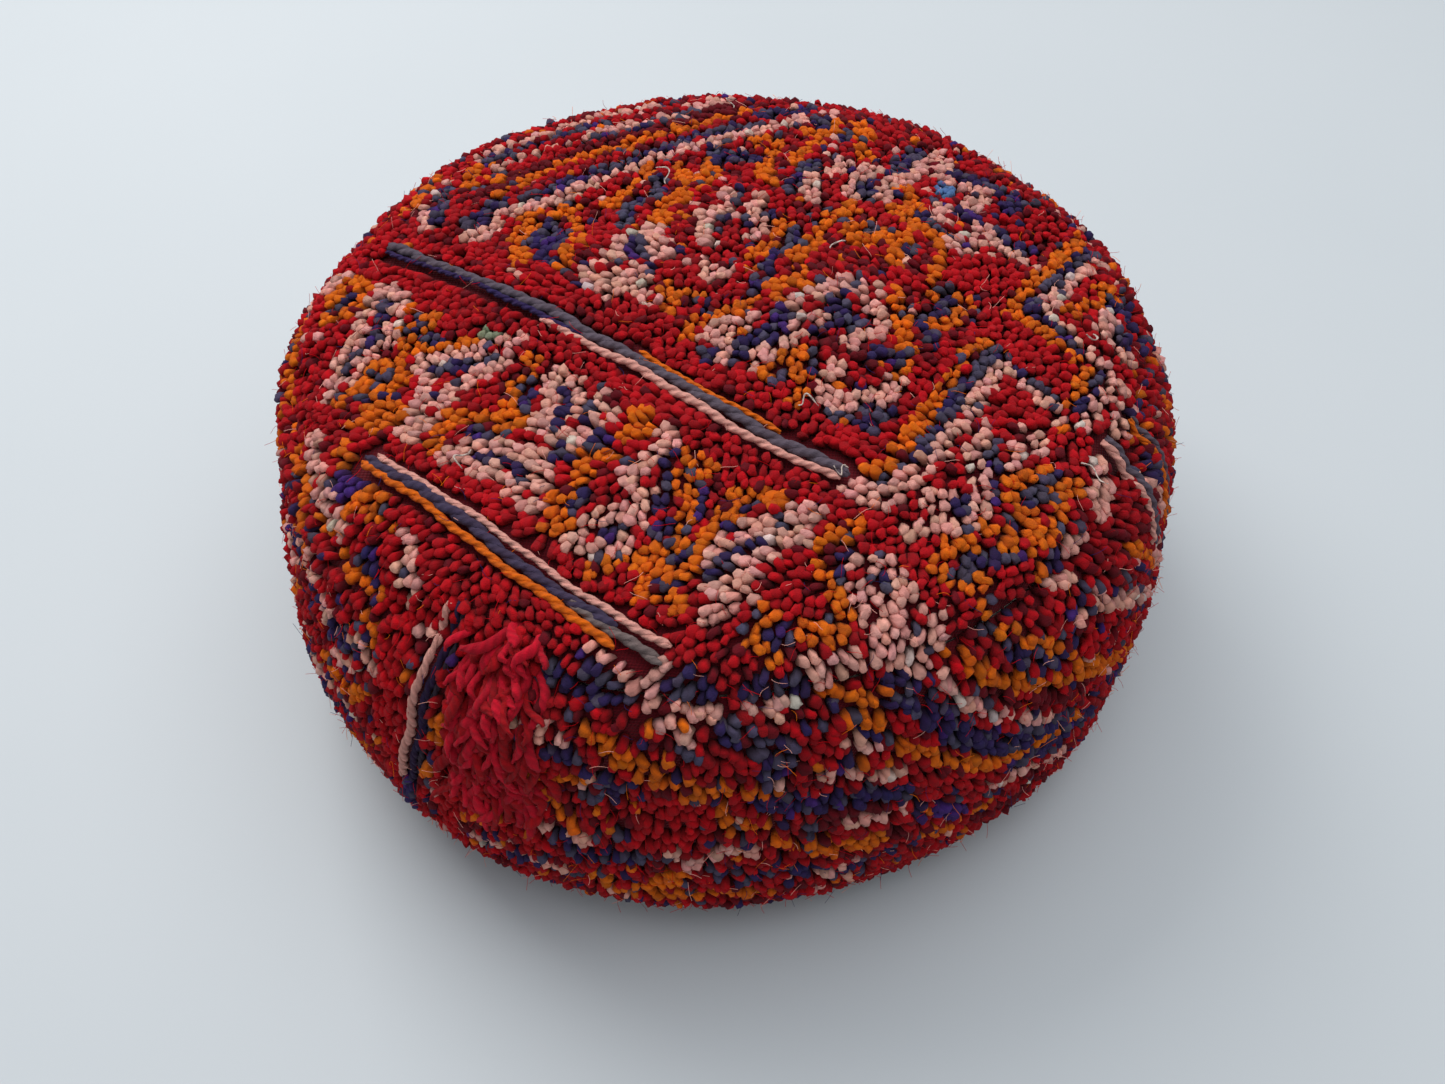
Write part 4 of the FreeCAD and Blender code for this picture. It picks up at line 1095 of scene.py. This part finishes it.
def wool_material(name, twist, sheen):
    """Matte wool: the yarn's own colour, which on knots holds painted shade towards the root and a little
    painted light at the tip; uneven dyeing in soft mottles; plies that wind round it, with painted shade in
    their grooves; and fine fibres.
    """
    constants = {"Sheen_Weight": sheen, "Sheen_Roughness": 0.6, "Specular_IOR_Level": 0.06}
    material, shader, place = start_material(name, 0.95, **constants)
    # The yarn attribute is each yarn's dye, and on the knots also their painted shade towards the root and
    # painted light at the tip.
    dye_and_root_shade = place.node("ShaderNodeAttribute", {"attribute_name": "yarn"}, {})
    worn = blend(place, mottle(place, 90.0) * 0.20, dye_and_root_shade, rgba((0.10, 0.004, 0.012)))
    faded = blend(place, mottle(place, 24.0) * 0.03, worn, rgba((0.62, 0.36, 0.34)))
    yarn_map = place.node("ShaderNodeUVMap", {"uv_map": "yarn_map"}, {})
    split = place.node("ShaderNodeSeparateXYZ", {}, {0: yarn_map})
    lengthwise = place.node("ShaderNodeSeparateXYZ", {}, {0: yarn_map}, 1)
    turns = split * 2.0 + lengthwise * twist
    ply = place.node("ShaderNodeMath", {"operation": "SINE"}, {0: turns * (2 * math.pi)})
    fibres = mottle(place, 1500.0, 2.0)
    groove = ply * 0.5 + 0.5
    # The grooves between the plies are darkened: painted shade.
    colour = blend(place, (1.0 - groove) * 0.22, faded, rgba((0.02, 0.01, 0.012)))
    finish_material(place, shader, colour, groove * 0.6 + fibres * 0.7, 0.0007)
    return material


def give(piece, material):
    """Leave a piece with one material."""
    piece.data.materials.clear()
    piece.data.materials.append(material)


# ---------------------------------------------------------------- cloth materials
def weave_material(name, main, shade_and_stain, threads, slope=0.0, roughness=0.9, stain=0.25):
    """Woven cloth: warp and weft threads at a right angle, uneven yarn, painted shade where the threads
    part, and soft stains.
    """
    material, shader, place = start_material(name, roughness, Specular_IOR_Level=0.2, Sheen_Weight=0.1)
    turned = place.node("ShaderNodeMapping", {}, {"Vector": place, "Rotation": (0, 0, slope)})
    split = place.node("ShaderNodeSeparateXYZ", {}, {0: turned})
    other = place.node("ShaderNodeSeparateXYZ", {}, {0: turned}, 1)
    upward = place.node("ShaderNodeSeparateXYZ", {}, {0: turned}, 2)
    wobble = mottle(place, 160.0) * 0.9
    turns = 2 * math.pi * threads
    warp = place.node("ShaderNodeMath", {"operation": "SINE"}, {0: split * turns + wobble})
    weft = place.node("ShaderNodeMath", {"operation": "SINE"}, {0: (other + upward) * turns + wobble})
    lattice = warp * weft * 0.5 + 0.5
    slub = mottle(place, 700.0)
    # Darker where the threads part: painted shade, in the same dark colour that the stains use.
    dusk = blend(place, (1.0 - lattice) * 0.45, rgba(main), rgba(shade_and_stain))
    stained = blend(place, mottle(place, 9.0, 6.0) * stain, dusk, rgba(shade_and_stain))
    finish_material(place, shader, stained, lattice + slub * 0.5, 0.0004)
    return material


def thread_material(name, colour, dark):
    """Twisted sewing thread, darker in the grooves of its twist as painted shade, with random fuzz."""
    material, shader, place = start_material(name, 0.7, Specular_IOR_Level=0.3)
    split = place.node("ShaderNodeSeparateXYZ", {}, {0: place})
    height = place.node("ShaderNodeSeparateXYZ", {}, {0: place}, 2)
    turns = (split + height) * (2 * math.pi * 1400)
    ply = place.node("ShaderNodeMath", {"operation": "SINE"}, {0: turns}) * 0.5 + 0.5
    fuzz = mottle(place, 900.0)
    # Painted shade in the twist's grooves, plus random fuzz.
    groove_shade_and_fuzz = blend(place, (1.0 - ply) * 0.4 + fuzz * 0.2, rgba(colour), rgba(dark))
    finish_material(place, shader, groove_shade_and_fuzz, ply + fuzz, 0.0003)
    return material


def brass_material():
    """Cast brass, tarnished darker and rougher in soft random patches."""
    material, shader, place = start_material("worn_brass", 0.36, Metallic=1.0)
    tarnish = mottle(place, 320.0, 6.0)
    colour = blend(place, tarnish, rgba((0.72, 0.55, 0.26)), rgba((0.36, 0.24, 0.10)))
    rough = 0.26 + tarnish * 0.3
    place.tree.links.new(rough.socket, shader.inputs["Roughness"])
    finish_material(place, shader, colour, mottle(place, 1400.0), 0.0001)
    return material


def moulded_material():
    """Satin moulded plastic of the zip's teeth, a little grubby."""
    material, shader, place = start_material("zip_plastic", 0.38)
    grime = mottle(place, 180.0, 5.0)
    colour = blend(place, grime * 0.5, rgba(shade(226, 214, 190)), rgba(shade(158, 140, 112)))
    finish_material(place, shader, colour, mottle(place, 2500.0), 0.00005)
    return material


def fibre_material():
    """Packed filling: pale fibres tangled in tufts."""
    material, shader, place = start_material("packed_fibre", 1.0, Sheen_Weight=0.2)
    tufts = mottle(place, 70.0, 8.0)
    hairs = mottle(place, 900.0, 4.0)
    colour = blend(place, tufts, rgba(shade(232, 228, 218)), rgba(shade(190, 184, 172)))
    finish_material(place, shader, colour, tufts + hairs * 0.6, 0.003)
    return material


# ------------------------------------------------------------------ cloth sheets
JOINT_AZIMUTHS = [-112, 8, 128]
GROUND_DEPTH = 3.0 * MM
LINER_GAP = 3.3 * MM
LINER_DEPTH = 1.0 * MM
CANVAS_DEPTH = 1.2 * MM
CREASE = 2.0 * MM
FLAT_REACH = ARCS[3][0][0]
HEEL_BEND = -BASE_SEAM_ANGLE
CANVAS_HALF_WIDTH = FLAT_REACH + HEEL_RADIUS * (math.pi / 2 + BASE_SEAM_ANGLE)
FURROW_FOOT = 30 * MM
FURROW_ROOF = 10 * MM
FURROW_HEIGHT = 8 * MM
ZIP_OPENING = 7 * MM
ZIP_REACH = 204 * MM


def grid_piece(name, points, wrap=False, pole=False, flip=False):
    """A sheet of faces through rows of points. It can close round, and its first row be one point."""
    rows, columns, _ = points.shape
    vertices = points.reshape(-1, 3)
    start = 0
    if pole:
        vertices = np.concatenate([points[:1, 0], points[1:].reshape(-1, 3)])
        start = 1
    faces = []
    last = columns if wrap else columns - 1

    def number(row, column):
        column = column % columns
        if pole and row == 0:
            return 0
        return (row - start) * columns + column + start

    for row in range(rows - 1):
        for column in range(last):
            corners = [
                number(row, column),
                number(row + 1, column),
                number(row + 1, column + 1),
                number(row, column + 1),
            ]
            if pole and row == 0:
                corners = corners[:3]
            faces.append(corners[::-1] if flip else corners)
    mesh = bpy.data.meshes.new(name)
    mesh.from_pydata(vertices.tolist(), [], faces)
    piece = bpy.data.objects.new(name, mesh)
    bpy.context.scene.collection.objects.link(piece)
    return piece


def only(piece):
    """Select one piece and nothing else."""
    for item in bpy.context.selected_objects:
        item.select_set(False)
    piece.select_set(True)
    bpy.context.view_layer.objects.active = piece


def thicken(piece, depth, offset=-1.0):
    """Give a sheet its thickness, inwards from its outer face, with closed edges."""
    only(piece)
    wall = piece.modifiers.new("wall", "SOLIDIFY")
    wall.thickness = depth
    wall.offset = offset
    bpy.ops.object.modifier_apply(modifier=wall.name)
    bpy.ops.object.shade_smooth_by_angle(angle=math.radians(50))


def finish_piece(piece, material, slot_name, *nodes, body="pouf"):
    """Give a piece its finish and its body, and hide the design's nodes that it stands for."""
    give(piece, material)
    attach(piece, body)
    if nodes:
        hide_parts(*nodes)


def skin_rows(cover, alongs, azimuths, offset):
    """Rows of points at a distance off the stuffed cover, from the crown towards the base."""
    turn, along = np.meshgrid(azimuths, alongs)
    points, normals = cover.at(turn, along)
    return points + normals * offset


def full_turn(steps):
    """Angles in even steps once round the pouf."""
    return np.linspace(-math.pi, math.pi, steps, endpoint=False)


def ground_sheets(cover, material):
    """The rug's woven ground: a round top and three side panels."""
    alongs = np.linspace(0, TOP_SEAM - CREASE / 4, 56)
    top = grid_piece("top_ground", skin_rows(cover, alongs, full_turn(180), 0.0), True, True)
    thicken(top, GROUND_DEPTH)
    finish_piece(top, material, "woven_ground", "top_panel_ground")
    width = 2 * TOP_SEAM
    math.pi * TOP_SEAM ** 2
    alongs = np.linspace(TOP_SEAM + CREASE / 4, BASE_SEAM - CREASE / 2, 48)
    for number, start in enumerate(JOINT_AZIMUTHS):
        azimuths = np.radians(np.linspace(start + 0.15, start + 119.85, 70))
        azimuths = (azimuths + math.pi) % (2 * math.pi) - math.pi
        name = "side_ground_%d" % (number + 1)
        side = grid_piece(name, skin_rows(cover, alongs, azimuths, 0.0))
        thicken(side, GROUND_DEPTH)
        finish_piece(side, material, "woven_ground", "side_panel_%d_ground" % (number + 1))
        widest = 2 * math.pi * ARCS[2][0][0] / 3 + 2 * math.pi * SIDE_RADIUS / 3
        BASE_SEAM - TOP_SEAM


def liner_sheets(cover, material):
    """The thin cotton bag round the filling, in three pieces."""
    alongs = np.linspace(0, TOP_SEAM - CREASE / 4, 46)
    top = grid_piece("top_liner", skin_rows(cover, alongs, full_turn(150), -LINER_GAP), True, True)
    thicken(top, LINER_DEPTH)
    finish_piece(top, material, "liner_cotton", "liner_top")
    width = 2 * TOP_SEAM
    math.pi * TOP_SEAM ** 2
    alongs = np.linspace(TOP_SEAM + CREASE / 4, BASE_SEAM - CREASE, 40)
    side = grid_piece("side_liner", skin_rows(cover, alongs, full_turn(150), -LINER_GAP), True)
    thicken(side, LINER_DEPTH)
    finish_piece(side, material, "liner_cotton", "liner_side")
    BASE_SEAM - TOP_SEAM
    base = grid_piece("base_liner", base_rows(LINER_GAP, 13.2 * MM), True, True, flip=True)
    thicken(base, LINER_DEPTH)
    finish_piece(base, material, "liner_cotton", "liner_base")
    width = 2 * CANVAS_HALF_WIDTH
    math.pi * CANVAS_HALF_WIDTH ** 2


def smooth_step(share):
    """A share from 0 to 1 that starts and ends level."""
    share = np.clip(share, 0, 1)
    return share * share * (3 - 2 * share)


def bowl_point(x, y, lift, furrow_height):
    """Height of the dished base over a place: its heel and the furrow that hides the zip."""
    distance = np.hypot(x, y)
    bend = np.clip((distance - FLAT_REACH) / HEEL_RADIUS, 0, HEEL_BEND + 0.2)
    share = (FLAT_REACH + (HEEL_RADIUS - lift) * np.sin(bend)) / np.maximum(distance, 1e-9)
    share = np.where(distance > FLAT_REACH, share, 1.0)
    height = HEEL_RADIUS - (HEEL_RADIUS - lift) * np.cos(bend)
    slope = (FURROW_FOOT - np.abs(y)) / (FURROW_FOOT - FURROW_ROOF)
    furrow = furrow_height * smooth_step(slope)
    blended = np.maximum(height, furrow)
    return np.stack([x * share, y * share, blended], -1)


def base_rows(lift, furrow_height):
    """Rings of the round base from its middle to its seam."""
    spread = np.linspace(0, CANVAS_HALF_WIDTH - 1 * MM, 60)
    turn = full_turn(180)
    distance = spread[:, None]
    return bowl_point(distance * np.cos(turn), distance * np.sin(turn), lift, furrow_height)


def canvas_halves(material):
    """The two canvas halves of the base, dished up over the zip and open between its tapes."""
    for name, side in (("front", -1), ("back", 1)):
        run, out = np.meshgrid(np.linspace(-1, 1, 121), np.linspace(0, 1, 61))
        x = CANVAS_HALF_WIDTH * run * np.sqrt(1 - out ** 2 / 2)
        y = CANVAS_HALF_WIDTH * out * np.sqrt(1 - run ** 2 / 2)
        inside = smooth_step((ZIP_REACH + 1 * MM - np.abs(x)) / (4 * MM))
        y = y + (ZIP_OPENING * inside + 0.1 * MM) * (1 - out) ** 3
        points = bowl_point(x, side * y, 0.0, FURROW_HEIGHT)
        turn = np.arctan2(y, x)
        rim = smooth_step((np.hypot(x, y) - FLAT_REACH - 8 * MM) / (36 * MM))
        pucker = 0.5 * MM * rim * (np.sin(turn * 88) + 0.5 * np.sin(turn * 37 + 1))
        points[..., 0] -= pucker * np.cos(turn)
        points[..., 1] -= pucker * np.sin(turn) * side
        points[..., 2] += np.abs(pucker)
        half = grid_piece("base_canvas_" + name, points, flip=side < 0)
        thicken(half, CANVAS_DEPTH)
        finish_piece(half, material, "base_canvas", "base_half_" + name)
        width = 2 * CANVAS_HALF_WIDTH
        area = math.pi * CANVAS_HALF_WIDTH ** 2 / 2
        width / 2


def stuffing_pad(cover, material):
    """The filling: one packed closed form just inside the liner."""
    inset = LINER_GAP + LINER_DEPTH + 0.6 * MM
    turn = full_turn(120)
    upper = skin_rows(cover, np.linspace(0, BASE_SEAM, 60), turn, -inset)
    lower = []
    for distance in np.linspace(CANVAS_HALF_WIDTH - 3 * MM, 0, 34):
        ring = bowl_point(distance * np.cos(turn), distance * np.sin(turn), inset, 15 * MM)
        lower.append(ring)
    rows = np.concatenate([upper, np.array(lower[:-1])])
    pad = grid_piece("stuffing_pad", rows, True, True)
    only(pad)
    bpy.ops.object.mode_set(mode="EDIT")
    bpy.ops.mesh.select_all(action="SELECT")
    bpy.ops.mesh.fill_holes(sides=0)
    bpy.ops.mesh.normals_make_consistent(inside=False)
    bpy.ops.object.mode_set(mode="OBJECT")
    bpy.ops.object.shade_smooth()
    finish_piece(pad, material, "stuffing_fibre", "stuffing")


def zip_tapes(material):
    """The woven tapes of the zip, a little wavy along their free edges."""
    for name, side in (("front", -1), ("back", 1)):
        low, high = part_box("zip_tape_" + name)
        along = np.linspace(low[0], high[0], 165)
        across = np.linspace(low[1], high[1], 7)
        y, x = np.meshgrid(across, along)
        free = np.abs(y) / max(abs(low[1]), abs(high[1]))
        wave = 0.35 * MM * free ** 2 * (np.sin(x * 150) + 0.6 * np.sin(x * 61 + side))
        points = np.stack([x, y, high[2] + np.abs(wave)], -1)
        tape = grid_piece("zip_tape_%s_woven" % name, points)
        thicken(tape, high[2] - low[2])
        finish_piece(tape, material, "zip_tape", "zip_tape_" + name)


# ------------------------------------------------------------------ cords, stitches
CORD_RING = 0.9 * MM
CORD_LIFT = 5.6 * MM


def resample(route, step):
    """A route walked in even steps."""
    spans = np.linalg.norm(np.diff(route, axis=0), axis=1)
    walked = np.concatenate([[0], np.cumsum(spans)])
    count = max(int(walked[-1] / step), 4)
    even = np.linspace(0, walked[-1], count)
    return np.stack([np.interp(even, walked, route[:, axis]) for axis in range(3)], -1), even


def twisted_cord(name, route, normals, radius, pitch, colour, material, slot_name, *nodes):
    """Two plies of yarn twisted round each other along a route."""
    centre, walked = resample(route, CORD_RING)
    up, _ = resample(normals, 1)
    share = np.linspace(0, 1, len(centre))
    grid = np.linspace(0, 1, len(normals))
    up = unit(np.stack([np.interp(share, grid, normals[:, axis]) for axis in range(3)], -1))
    along = unit(np.gradient(centre, axis=0))
    side = unit(np.cross(along, up))
    up = np.cross(side, along)
    phase = walked / pitch * 2 * math.pi + YARN.uniform(0, 6)
    uneven = 1 + 0.10 * np.sin(walked / (23 * MM) + YARN.uniform(0, 6))
    paths = []
    for ply in range(2):
        turn = phase + ply * math.pi
        swing = np.cos(turn)[:, None] * side + np.sin(turn)[:, None] * up
        paths.append(centre + swing * (radius * 0.36 * uneven)[:, None])
    paths = np.array(paths)
    taper = np.clip(np.minimum(walked, walked[-1] - walked) / (3 * MM), 0.25, 1) ** 0.5
    radii = radius * 0.70 * (uneven * taper)[None, :] * YARN.uniform(0.92, 1.08, (2, len(centre)))
    colours = np.tile(colour, (2, 1)) * np.array([[1.0], [0.86]])
    sideways = np.broadcast_to(side[0], (2, 3))
    piece = tubes(name, paths, radii, sideways, 8, colours)
    finish_piece(piece, material, slot_name, *nodes)
    return piece


def weave_route(cover, start, end, across, slope, lift):
    """A route along a row of the weave, at a height over the ground."""
    run = np.linspace(start, end, 60)
    wander = 0.6 * np.sin(run / 17 + across) + 0.45 * np.sin(run / 6.1 + across * 3)
    side = (across + slope * run + bow(run) + wander) * MM
    run = run * MM
    azimuth, along = weave_to_skin(run, side)
    base, normal = cover.at(azimuth, along)
    return base + normal * lift, normal


def slot_cords(cover, material):
    """The flatwoven lines of the top, laid in coloured cords."""
    slate = shade(94, 88, 100)
    dusk = shade(62, 60, 84)
    grey = shade(118, 106, 104)
    navy = SHADES["navy"]
    pink = SHADES["pink"]
    orange = SHADES["orange"]
    lines = [
        ("slate_cord_long", -178, 124, -63.8, -0.015, 2.9, slate, "slate_yarn", ["weft_cord_slate"]),
        ("navy_cord_long", -176, -30, -67.0, -0.015, 1.6, navy, "slate_yarn", []),
        ("pink_cord_long", -56, 122, -69.0, -0.015, 2.2, pink, "pink_yarn", ["weft_cord_pink"]),
        ("orange_cord_long", 2, 86, -59.8, -0.015, 1.7, orange, "orange_yarn", ["weft_cord_orange"]),
        ("pink_cord_short", -70, 108, -175.3, -0.016, 1.9, pink, "pink_yarn", []),
        ("slate_cord_short", -74, 84, -179.6, -0.03, 3.0, dusk, "slate_yarn", []),
        ("grey_cord_short", 58, 108, -182.6, 0, 2.6, grey, "slate_yarn", []),
        ("orange_cord_short", -74, 88, -184.2, -0.045, 2.3, orange, "orange_yarn", []),
        ("slate_cord_right", 204, 236, 70.0, 0, 2.0, slate, "slate_yarn", []),
        ("orange_cord_right", 204, 236, 65.8, 0, 1.8, orange, "orange_yarn", []),
        ("slate_cord_right_low", 203, 238, 42.5, 0, 2.3, slate, "slate_yarn", []),
        ("pink_cord_right_low", 203, 238, 37.8, 0, 2.1, pink, "pink_yarn", []),
    ]
    for name, start, end, across, slope, radius, colour, slot_name, nodes in lines:
        route, normals = weave_route(cover, start, end, across, slope, CORD_LIFT)
        pitch = 8.0 * radius * MM
        twisted_cord(name, route, normals, radius * MM, pitch, colour, material, slot_name, *nodes)


def slot_turn(down):
    """Where the side's flatwoven line runs, in degrees round, at a distance down from the top seam."""
    return SIDE_SLOT_TURN - 5.2 * (np.clip(down, 0, 110) / 110) ** 1.6


def side_cords(cover, material):
    """The upright flatwoven line of the side, left of the shaggy knots."""
    lines = [
        # Each cord's shade is darkened, the ones lying lowest in the line the most: painted shade.
        ("pink_cord_side", -0.55, -14, 104, 2.2, SHADES["pink"] * 0.85, "pink_yarn", 5.6),
        ("navy_cord_side", 0.65, -18, 108, 2.1, SHADES["navy"] * 0.5, "slate_yarn", 3.6),
        ("slate_cord_side", 1.45, -16, 98, 1.6, SHADES["slate"] * 0.4, "slate_yarn", 2.4),
    ]
    for name, beside, start, end, radius, colour, slot_name, lift in lines:
        down = np.linspace(start, end, 40)
        azimuth = np.radians(slot_turn(down) + beside + 0.15 * np.sin(down / 7))
        base, normal = cover.at(azimuth, TOP_SEAM + down * MM)
        pitch = 8.0 * radius * MM
        route = base + normal * lift * MM
        twisted_cord(name, route, normal, radius * MM, pitch, colour, material, slot_name)


def stitches(name, base, normal, along, length, radius, colour, material, slot_name, *nodes):
    """A row of short stitches, each an arch of thread."""
    steps = np.linspace(-0.5, 0.5, 7)
    arch = np.cos(steps * math.pi) * 1.6 - 0.5
    paths = (
        base[:, None, :]
        + along[:, None, :] * (steps * length)[None, :, None]
        + normal[:, None, :] * (arch * MM)[None, :, None]
    )
    radii = np.full(paths.shape[:2], radius)
    colours = np.tile(colour, (len(base), 1))
    sideways = np.cross(normal, along)
    piece = tubes(name, paths, radii, sideways, 6, colours)
    finish_piece(piece, material, slot_name, *nodes)


def seam_stitches(cover, material):
    """Thread that joins the side panels to the top and to each other."""
    turn = full_turn(150)
    base, normal = cover.at(turn, np.full(150, TOP_SEAM))
    ahead, _ = cover.at(turn, np.full(150, TOP_SEAM + 3 * MM))
    colour = SHADES["maroon"]
    down = unit(ahead - base)
    stitches("top_seam_stitches", base, normal, down, 6 * MM, 0.5 * MM, colour, material,
             "sewing_thread", "top_seam_thread")
    along = np.tile(np.linspace(TOP_SEAM + 14 * MM, BASE_SEAM - 14 * MM, 24), 3)
    azimuth = np.radians(np.repeat(JOINT_AZIMUTHS, 24))
    base, normal = cover.at(azimuth, along)
    around = np.stack([-np.sin(azimuth), np.cos(azimuth), np.zeros(len(azimuth))], -1)
    stitches("side_joint_stitches", base, normal, around, 6 * MM, 0.5 * MM, colour, material,
             "sewing_thread", "side_joint_thread")


def finish_nodes():
    """Finishes of the design's own hard pieces and stitches."""
    brass = brass_material()
    plastic = moulded_material()
    thread = thread_material("waxed_thread", shade(222, 210, 184), shade(150, 134, 108))
    finishes = {
        "zip_slider_body": brass,
        "zip_pull_tab": brass,
        "zip_top_stops": brass,
        "zip_bottom_stop": brass,
        "zip_teeth_front": plastic,
        "zip_teeth_back": plastic,
        "base_seam_thread": thread,
        "zip_stitching": thread,
    }
    for name, material in finishes.items():
        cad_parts[name].data.materials.clear()
        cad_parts[name].data.materials.append(material)


# ------------------------------------------------------------ floor, light, camera
CAMERA_HEIGHT = 0.672
CAMERA_BACK = 0.508
CAMERA_TILT = math.radians(52.0)
CAMERA_ROLL = math.radians(2.31)
CAMERA_LENS = 31.7


def place_camera():
    """The main camera, tilted down at the pouf from the front."""
    camera = bpy.data.cameras.new("camera")
    camera.lens = CAMERA_LENS
    camera.sensor_width = 36.0
    camera.clip_start = 0.05
    holder = bpy.data.objects.new("camera", camera)
    bpy.context.scene.collection.objects.link(holder)
    holder.location = (0.0, -CAMERA_BACK, CAMERA_HEIGHT)
    holder.rotation_mode = "QUATERNION"
    tilt = Quaternion((1, 0, 0), math.pi / 2 - CAMERA_TILT)
    roll = Quaternion((0, 0, 1), -CAMERA_ROLL)
    holder.rotation_quaternion = tilt @ roll
    bpy.context.scene.camera = holder
    bpy.context.scene.view_settings.view_transform = "Standard"


def area_light(name, place, aim, size, power, colour):
    """A square soft light at a place, turned to face an aim."""
    light = bpy.data.lights.new(name, "AREA")
    light.size = size
    light.energy = power
    light.color = colour
    holder = bpy.data.objects.new(name, light)
    bpy.context.scene.collection.objects.link(holder)
    holder.location = place
    direction = Vector(aim) - Vector(place)
    holder.rotation_mode = "QUATERNION"
    holder.rotation_quaternion = direction.to_track_quat("-Z", "Y")
    return holder


def light_and_floor():
    """A pale floor, two soft lights over it and a dim room."""
    bpy.ops.mesh.primitive_plane_add(size=12, location=(0, 0, 0))
    floor = bpy.context.object
    floor.name = "studio_floor"
    material, shader, place = start_material("pale_floor", 0.55, Specular_IOR_Level=0.3)
    grain = mottle(place, 2.2, 8.0)
    colour = blend(place, grain * 0.5, rgba(shade(204, 210, 214)), rgba(shade(190, 198, 203)))
    place.tree.links.new(colour.socket, shader.inputs["Base Color"])
    give(floor, material)
    lights = [
        area_light("window", (-1.1, 1.5, 2.2), (0, 0, 0.1), 1.8, 46.0, (1.0, 0.98, 0.96)),
        area_light("ceiling", (0.5, 0.1, 2.6), (0, 0, 0.1), 2.6, 34.0, (0.97, 0.98, 1.0)),
    ]
    world = bpy.data.worlds.new("room")
    world.use_nodes = True
    world.node_tree.nodes["Background"].inputs["Color"].default_value = (0.80, 0.84, 0.88, 1)
    world.node_tree.nodes["Background"].inputs["Strength"].default_value = 0.45
    bpy.context.scene.world = world


# ---------------------------------------------------------------------- the build
def build():
    """Make every piece, then the camera and lights."""
    cover = Cover()
    wool = wool_material("wool_pile", 0.16, 0.02)
    cord_wool = wool_material("wool_cord", 0.22, 0.03)
    pile = top_pile(cover) + side_pile(cover)
    for piece in pile:
        finish_piece(piece, wool, "pile_wool")
    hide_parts("top_panel_pile")
    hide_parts("side_panel_1_pile", "side_panel_2_pile", "side_panel_3_pile")
    ground = weave_material("woven_ground", shade(112, 20, 32), shade(34, 10, 20), 420, WEAVE_ANGLE)
    ground_sheets(cover, ground)
    slot_cords(cover, cord_wool)
    side_cords(cover, cord_wool)
    shaggy_yarns(cover, cord_wool)
    base_edge_yarns(cover, cord_wool)
    lint_threads(cover, cord_wool)
    stray_fibres(cover, 7.5 * MM)
    seam_stitches(cover, cord_wool)
    canvas = weave_material("cotton_canvas", shade(222, 210, 184), shade(140, 122, 96), 640, stain=0.5)
    canvas_halves(canvas)
    tape = weave_material("zip_tape_weave", shade(206, 194, 166), shade(120, 106, 84), 1300, 0.78)
    zip_tapes(tape)
    liner = weave_material("liner_weave", shade(232, 226, 212), shade(180, 170, 150), 1200)
    liner_sheets(cover, liner)
    stuffing_pad(cover, fibre_material())
    finish_nodes()
    place_camera()
    light_and_floor()


build()
